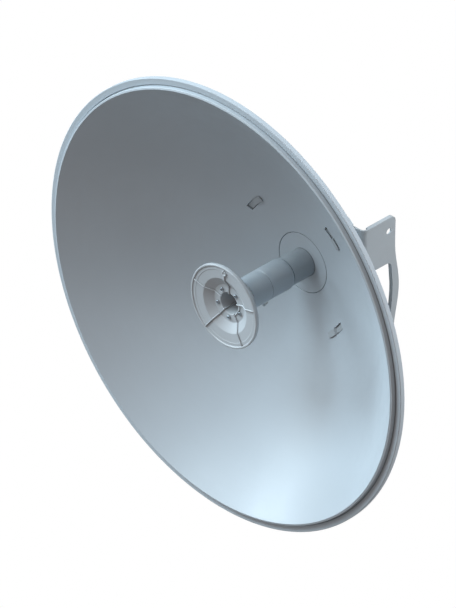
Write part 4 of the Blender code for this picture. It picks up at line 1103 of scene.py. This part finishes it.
def ring_mesh():
    r = COLLAR_R + 0.0004
    outline = rounded([
        (r, 0.0270, 0.0005), (0.0486, 0.0270, 0.0012), (0.0495, 0.0290, 0.0008), (0.0495, 0.0405, 0.0010),
        (0.0484, 0.0425, 0.0012), (0.0366, 0.0425, 0.0006), (0.0366, 0.0390, 0.0004), (r, 0.0390, 0.0004),
    ], 3)
    steps = []
    for k in range(6):
        x, z = polar(0.0485, 60 * k)
        lug = lathe("lug", rounded([(0.0, 0.0290, 0.0), (0.0048, 0.0290, 0.0009), (0.0048, 0.0405, 0.0009), (0.0, 0.0405, 0.0)], 3, closed=False), 32, x, z)
        steps.append(("UNION", lug))
    for k in range(72):
        if k % 12 in (0, 1, 11):
            continue
        x, z = polar(0.0500, 5 * k)
        steps.append(("DIFFERENCE", rod(0.0010, (x, 0.0300, z), (x, 0.0395, z), 10)))
    return combine(lathe("ring", outline, 144), steps)


show("clamp_ring", ring_mesh(), M_RING, "lock_ring", "feed_lock_ring", slot="ring_plastic", degrees=35)


# ------------------------------------------------------ transducer and ports
def housing_mesh():
    profile = [(TUBE_R + GAP, 0.0060, 0.0004), (HOUSING_R, 0.0060, 0.0010)]
    # Turned cooling grooves behind the clamp ring.
    y = 0.0445
    while y < HOUSING_REAR_Y - 0.0030:
        profile += [(HOUSING_R, y, 0.0003), (HOUSING_R - 0.0016, y + 0.0003, 0.0003), (HOUSING_R - 0.0016, y + 0.0015, 0.0003), (HOUSING_R, y + 0.0018, 0.0003)]
        y += 0.0034
    profile += [(HOUSING_R, HOUSING_REAR_Y, 0.0005), (0.0320, HOUSING_REAR_Y, 0.0003), (0.0320, 0.0100, 0.0006), (TUBE_R + GAP, 0.0100, 0.0003)]
    return lathe("housing", rounded(profile, 3), 120)


show("coupler_body", housing_mesh(), M_CAST, "feed", "transducer_housing", slot="cast_alloy", degrees=35)


def cover_mesh():
    outline = rounded([(0.0, HOUSING_REAR_Y + GAP, 0.0), (HOUSING_R, HOUSING_REAR_Y + GAP, 0.0004), (HOUSING_R, COVER_FACE_Y, 0.0012), (0.0, COVER_FACE_Y, 0.0)], 4, closed=False)
    steps = []
    for side in (-1, 1):
        steps.append(("DIFFERENCE", rod(0.0053, (0.0160 * side, HOUSING_REAR_Y - 0.003, 0), (0.0160 * side, COVER_FACE_Y + 0.003, 0), 32)))
    for k in range(4):
        x, z = polar(0.0290, 45 + 90 * k)
        steps.append(("DIFFERENCE", rod(0.0018, (x, HOUSING_REAR_Y - 0.003, z), (x, COVER_FACE_Y + 0.003, z), 20)))
    # Raised level marks at top and bottom for setting the polarisation.
    for degrees in (90, 270):
        x, z = polar(0.0325, degrees)
        steps.append(("UNION", block((x - 0.0006, COVER_FACE_Y - 0.0005, z - 0.0016), (x + 0.0006, COVER_FACE_Y + 0.0004, z + 0.0016))))
    return combine(lathe("cover", outline, 120), steps)


show("coupler_cover", cover_mesh(), M_CAST, "feed", "transducer_cover", slot="cast_alloy", degrees=35)
for k in range(4):
    x, z = polar(0.0290, 45 + 90 * k)
    low = COVER_FACE_Y + GAP
    body = lathe(
        "screw",
        rounded([(0.0, low + 0.0020, 0.0), (0.0027, low + 0.0020, 0.0011), (0.0027, low, 0.0002), (0.0015, low, 0.0001), (0.0015, HOUSING_REAR_Y - 0.0050, 0.0003), (0.0, HOUSING_REAR_Y - 0.0050, 0.0)], 4, closed=False),
        32, x, z,
    )
    show(f"cover_fixing_{k + 1}", combine(body, [("DIFFERENCE", star_recess(x, low + 0.0011, z, 0.0012, 0.0015))]), M_STEEL, "feed", f"cover_screw_{k + 1}", slot="fastener_steel", degrees=40)


def thread(radius, low, high, pitch, depth):
    """A thread's wobble for lathe: a helix that fades out at both ends."""
    def wobble(r, along, angle):
        if abs(r - radius) > 1e-6 or along < low or along > high:
            return r
        fade = min(1.0, (along - low) / pitch, (high - along) / pitch)
        phase = (along / pitch - angle / (2 * math.pi)) % 1.0
        return r - depth * fade * (1 - abs(2 * phase - 1))
    return wobble


for k, side in enumerate((-1, 1)):
    x = 0.0160 * side
    f = COVER_FACE_Y
    R = 0.0078
    profile = rounded([
        (0.0024, HOUSING_REAR_Y - 0.0060, 0.0002), (0.0050, HOUSING_REAR_Y - 0.0060, 0.0002), (0.0050, f + GAP, 0.0),
        (0.0092, f + GAP, 0.0003), (0.0092, f + 0.0030, 0.0006), (0.0066, f + 0.0030, 0.0003), (0.0066, f + 0.0048, 0.0003),
    ], 3)
    rows = 42
    profile += [(R, f + 0.0052 + (0.0094) * i / rows) for i in range(rows + 1)]
    profile += [(R - 0.0005, f + 0.0150), (0.0062, f + 0.0150), (0.0060, f + 0.0148), (0.0060, f + 0.0060), (0.0024, f + 0.0060)]
    mesh = lathe("port", profile, 48, x, 0.0, wobble=thread(R, f + 0.0054, f + 0.0144, 0.00106, 0.00055))
    # Two spanner flats on the flange.
    mesh = combine(mesh, [
        ("DIFFERENCE", block((x - 0.012, f + 0.0001, 0.0080), (x + 0.012, f + 0.0031, 0.0120))),
        ("DIFFERENCE", block((x - 0.012, f + 0.0001, -0.0120), (x + 0.012, f + 0.0031, -0.0080))),
    ])
    show(f"coax_port_{k + 1}", mesh, M_BRASS, "feed", f"rf_connector_{k + 1}", slot="connector_brass", degrees=40)
    turned(f"port_insulator_{k + 1}", [(0.0010, f + 0.0063, 0.0001), (0.0054, f + 0.0063, 0.0003), (0.0054, f + 0.0085, 0.0004), (0.0010, f + 0.0085, 0.0002)], 40, M_PTFE, "feed", f"connector_insulator_{k + 1}", "ptfe", x=x)
    pin = rounded([(0.0, 0.0380, 0.0), (0.0007, 0.0380, 0.0002), (0.0007, f + 0.0128, 0.0004), (0.0002, f + 0.0133, 0.0001), (0.0, f + 0.0133, 0.0)], 3, closed=False)
    show(f"centre_pin_{k + 1}", lathe("pin", pin, 24, x, 0.0), M_BRASS, "feed", f"probe_pin_{k + 1}", slot="connector_brass", degrees=40)

septum = plate(
    "septum",
    [rounded([
        (0.0290, -0.0180, 0.0004), (0.0290, 0.0180, 0.0004), (-0.0060, 0.0180, 0.0004), (-0.0060, 0.0110, 0.0006), (-0.0180, 0.0110, 0.0004),
        (-0.0180, 0.0030, 0.0006), (-0.0300, 0.0030, 0.0004), (-0.0300, -0.0050, 0.0006), (-0.0400, -0.0050, 0.0004), (-0.0400, -0.0180, 0.0004),
    ], 3)],
    -0.0008, 0.0008, IN_YZ,
)
show("septum_plate", bevelled(septum, 0.0002, 2), M_BRASS, "feed", "polariser_septum", slot="connector_brass")


# =================================================================== yoke
def yoke_outline(segments=8):
    radius = 0.0060
    centre = (YOKE_X - radius, YOKE_REAR_Y - radius)
    right = []
    inner_r = radius - YOKE_T
    for k in range(segments + 1):
        a = math.pi / 2 - math.pi / 2 * k / segments
        right.append((centre[0] + inner_r * math.cos(a), centre[1] + inner_r * math.sin(a)))
    right += [(YOKE_X - YOKE_T, YOKE_FRONT_Y - 0.005), (YOKE_X, YOKE_FRONT_Y - 0.005)]
    for k in range(segments + 1):
        a = math.pi / 2 * k / segments
        right.append((centre[0] + radius * math.cos(a), centre[1] + radius * math.sin(a)))
    return right + [(-x, y) for x, y in right[::-1]]


def arc_slot_outline():
    half = BOLT_R + 0.0004
    low, high = -TILT_DOWN_DEG - 1.0, TILT_UP_DEG + 1.0
    out = []
    for k in range(17):
        a = math.radians(90 - (low + (high - low) * k / 16))
        out.append((PIVOT_Y + (LOCK_RADIUS + half) * math.cos(a), PIVOT_Z + (LOCK_RADIUS + half) * math.sin(a)))
    a = math.radians(90 - high)
    centre = (PIVOT_Y + LOCK_RADIUS * math.cos(a), PIVOT_Z + LOCK_RADIUS * math.sin(a))
    for k in range(1, 12):
        b = a - math.pi * k / 12
        out.append((centre[0] + half * math.cos(b), centre[1] + half * math.sin(b)))
    for k in range(17):
        a = math.radians(90 - (high + (low - high) * k / 16))
        out.append((PIVOT_Y + (LOCK_RADIUS - half) * math.cos(a), PIVOT_Z + (LOCK_RADIUS - half) * math.sin(a)))
    a = math.radians(90 - low)
    centre = (PIVOT_Y + LOCK_RADIUS * math.cos(a), PIVOT_Z + LOCK_RADIUS * math.sin(a))
    for k in range(1, 12):
        b = a + math.pi - math.pi * k / 12
        out.append((centre[0] + half * math.cos(b), centre[1] + half * math.sin(b)))
    return out


def yoke_mesh():
    ear = rounded([
        (0.1000, YOKE_TOP_Z, 0.0), (YOKE_FRONT_Y, YOKE_TOP_Z, 0.0120), (YOKE_FRONT_Y, -0.1460, 0.0150),
        (0.0600, YOKE_BOTTOM_Z, 0.0100), (0.1000, YOKE_BOTTOM_Z, 0.0),
    ], 8)
    steps = [("INTERSECT", plate("ear", [ear], -0.100, 0.100, IN_YZ))]
    steps.append(("DIFFERENCE", rod(BOLT_R + 0.00025, (-0.110, PIVOT_Y, PIVOT_Z), (0.110, PIVOT_Y, PIVOT_Z), 40)))
    steps.append(("DIFFERENCE", plate("arc", [arc_slot_outline()], -0.110, 0.110, IN_YZ)))
    for x in (-0.0450, 0.0450):
        for z in (-0.0220, 0.0220):
            steps.append(("DIFFERENCE", rod(0.0045, (x, 0.080, PIVOT_Z + z), (x, 0.100, PIVOT_Z + z), 40)))
    mesh = combine(plate("yoke", [yoke_outline()], YOKE_BOTTOM_Z, YOKE_TOP_Z, IN_XY), steps)
    return bevelled(tidy(mesh), 0.0004, 2)


show("pressed_yoke", yoke_mesh(), M_YOKE, "mast_yoke", "tilt_yoke", slot="yoke_zinc", degrees=35)


# ============================================================== fasteners
def along_x(side, y, z):
    """Turns lathe's Y axis to point out of the arm on one side."""
    turn = Matrix.Rotation(-math.pi / 2 * side, 4, "Z")
    return Matrix.Translation(VERTEX + Vector((0, y, z))) @ turn


def hex_solid(across, low, high, place, chamfer=True, both=False):
    """A hexagon from low to high along the lathe axis, chamfered like a head."""
    corner = across / math.sqrt(3)
    prism = lathe("hex", [(0.0, low), (corner, low), (corner, high), (0.0, high)], 6, axis=place)
    flat = across / 2
    cut = (corner - flat) * 0.55
    points = [(0.0, low), (corner + 0.0005, low), (corner + 0.0005, high - cut), (flat * 0.97, high), (0.0, high)]
    if both:
        points = [(0.0, low), (flat * 0.97, low), (corner + 0.0005, low + cut), (corner + 0.0005, high - cut), (flat * 0.97, high), (0.0, high)]
    return combine(prism, [("INTERSECT", lathe("chamfer", points, 48, axis=place))])


for side, word in ((-1, "left"), (1, "right")):
    for label, y, z, body in (("pivot", PIVOT_Y, PIVOT_Z, "mast_yoke"), ("lock", PIVOT_Y, PIVOT_Z + LOCK_RADIUS, "bracket")):
        place = along_x(side, y, z)
        base = ARM_X + GAP
        head = hex_solid(0.0130, base + 0.0004, base + 0.0053, place)
        washer_face = lathe("face", [(0.0, base), (0.0059, base), (0.0059, base + 0.0006), (0.0, base + 0.0006)], 48, axis=place)
        tip = 0.0700
        shank_points = rounded([(0.0, tip, 0.0), (BOLT_R - 0.0006, tip, 0.0), (BOLT_R, tip + 0.0006, 0.0)], 2, closed=False)
        rows = 100
        thread_end = 0.0860
        shank_points += [(BOLT_R, tip + 0.0008 + (thread_end - tip - 0.0008) * i / rows) for i in range(rows + 1)]
        shank_points += [(BOLT_R, base + 0.0030), (0.0, base + 0.0030)]
        shank = lathe("shank", shank_points, 32, axis=place, wobble=thread(BOLT_R, tip + 0.0008, thread_end, 0.00125, 0.0006))
        mesh = combine(shank, [("UNION", washer_face), ("UNION", head)])
        show(f"{label}_hex_bolt_{word}", mesh, M_STEEL, body, f"{label}_bolt_{word}", slot="fastener_steel", degrees=35)
        low, high = YOKE_X + GAP, ARM_X - SHEET - GAP
        spacer = rounded([(BOLT_R + GAP, low, 0.0003), (0.0090, low, 0.0005), (0.0090, high, 0.0005), (BOLT_R + GAP, high, 0.0003)], 3)
        show(f"{label}_washer_{word}", lathe("spacer", spacer, 56, axis=place), M_STEEL, body, f"{label}_spacer_{word}", slot="fastener_steel")
        low, high = YOKE_X - YOKE_T - GAP - 0.0065, YOKE_X - YOKE_T - GAP
        nut = hex_solid(0.0130, low, high, place, both=True)
        bore = lathe("bore", [(0.0, 0.060), (BOLT_R + 0.0002, 0.060), (BOLT_R + 0.0002, 0.090), (0.0, 0.090)], 40, axis=place)
        show(f"{label}_hex_nut_{word}", combine(nut, [("DIFFERENCE", bore)]), M_STEEL, body, f"{label}_nut_{word}", slot="fastener_steel", degrees=35)


# ======================================================= camera and studio
K = 0.9957
TARGET = Vector((0.0121 * K, VERTEX.y - DEPTH, VERTEX.z + 0.0116 * K))
AZ, EL, DISTANCE = math.radians(44.92), math.radians(33.67), 7.657 * K

camera_data = bpy.data.cameras.new("camera")
camera_data.sensor_width = 36.0
camera_data.sensor_fit = "AUTO"
camera_data.lens = 18.0 / math.tan(math.radians(3.0))
camera_data.clip_end = 100.0
camera = bpy.data.objects.new("camera", camera_data)
scene.collection.objects.link(camera)
back = Vector((math.sin(AZ) * math.cos(EL), -math.cos(AZ) * math.cos(EL), math.sin(EL)))
camera.location = TARGET + back * DISTANCE
camera.rotation_euler = back.to_track_quat("Z", "Y").to_euler()
scene.camera = camera


def floor():
    t = Tree("studio_floor")
    tint = t.noise(3.0, 2.0, 0.5)
    base = t.mix(tint, (0.80, 0.80, 0.80), (0.82, 0.82, 0.82))
    t.finish(t.mix(0.75, base, (0.0, 0.0, 0.0)), 0.9)
    # The floor reads as plain white paper to the camera and lights the object softly.
    path = t.node("ShaderNodeLightPath")
    glow = t.node("ShaderNodeEmission")
    glow.inputs["Color"].default_value = (1.0, 1.0, 1.0, 1.0)
    glow.inputs["Strength"].default_value = 1.0
    mixer = t.node("ShaderNodeMixShader")
    t.links.new(path.outputs["Is Camera Ray"], mixer.inputs[0])
    t.links.new(t.shader.outputs[0], mixer.inputs[1])
    t.links.new(glow.outputs[0], mixer.inputs[2])
    t.links.new(mixer.outputs[0], t.out.inputs[0])
    bm = bmesh.new()
    bmesh.ops.create_grid(bm, x_segments=2, y_segments=2, size=30.0, matrix=Matrix.Translation((0, 0, CAD_LOW[2] - 0.60)))
    mesh = mesh_from_bmesh("floor", bm, recalc=False)
    mesh.materials.append(t.mat)
    obj = bpy.data.objects.new("floor", mesh)
    scene.collection.objects.link(obj)
    obj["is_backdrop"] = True


floor()

world = bpy.data.worlds.new("studio")
scene.world = world
world.use_nodes = True
ambient = world.node_tree.nodes["Background"]
ambient.inputs["Color"].default_value = (1.0, 0.765, 0.665, 1.0)
ambient.inputs["Strength"].default_value = 0.39
# The camera sees plain white paper above the floor too.
paper = world.node_tree.nodes.new("ShaderNodeBackground")
paper.inputs["Color"].default_value = (1.0, 1.0, 1.0, 1.0)
paper.inputs["Strength"].default_value = 1.0
seen = world.node_tree.nodes.new("ShaderNodeLightPath")
choose = world.node_tree.nodes.new("ShaderNodeMixShader")
world.node_tree.links.new(seen.outputs["Is Camera Ray"], choose.inputs[0])
world.node_tree.links.new(ambient.outputs[0], choose.inputs[1])
world.node_tree.links.new(paper.outputs[0], choose.inputs[2])
world.node_tree.links.new(choose.outputs[0], world.node_tree.nodes["World Output"].inputs["Surface"])


def soft_light(name, direction, size, power, colour=(1, 1, 1), distance=4.0):
    data = bpy.data.lights.new(name, "AREA")
    data.shape = "DISK"
    data.size = size
    data.energy = power
    data.color = colour
    obj = bpy.data.objects.new(name, data)
    scene.collection.objects.link(obj)
    way = Vector(direction).normalized()
    centre = VERTEX + Vector((0, -0.08, 0))
    obj.location = centre + way * distance
    obj.rotation_euler = way.to_track_quat("Z", "Y").to_euler()
    return obj


COOL = (0.745, 0.905, 1.0)
soft_light("key", (-0.50, -0.55, 0.90), 2.1, 119.0, COOL)
soft_light("left", (-0.95, -0.35, 0.45), 1.8, 125.0, COOL)
soft_light("left_low", (-0.9, -0.65, 0.0), 2.0, 20.0, COOL)
soft_light("back_right", (0.45, 0.65, 0.78), 1.6, 84.0, (0.66, 0.86, 1.0))
soft_light("right", (0.95, -0.2, 0.15), 2.0, 9.0, COOL)
soft_light("behind_right", (0.70, 0.68, 0.22), 1.4, 66.0)

# ================================================================== sizes
low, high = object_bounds()
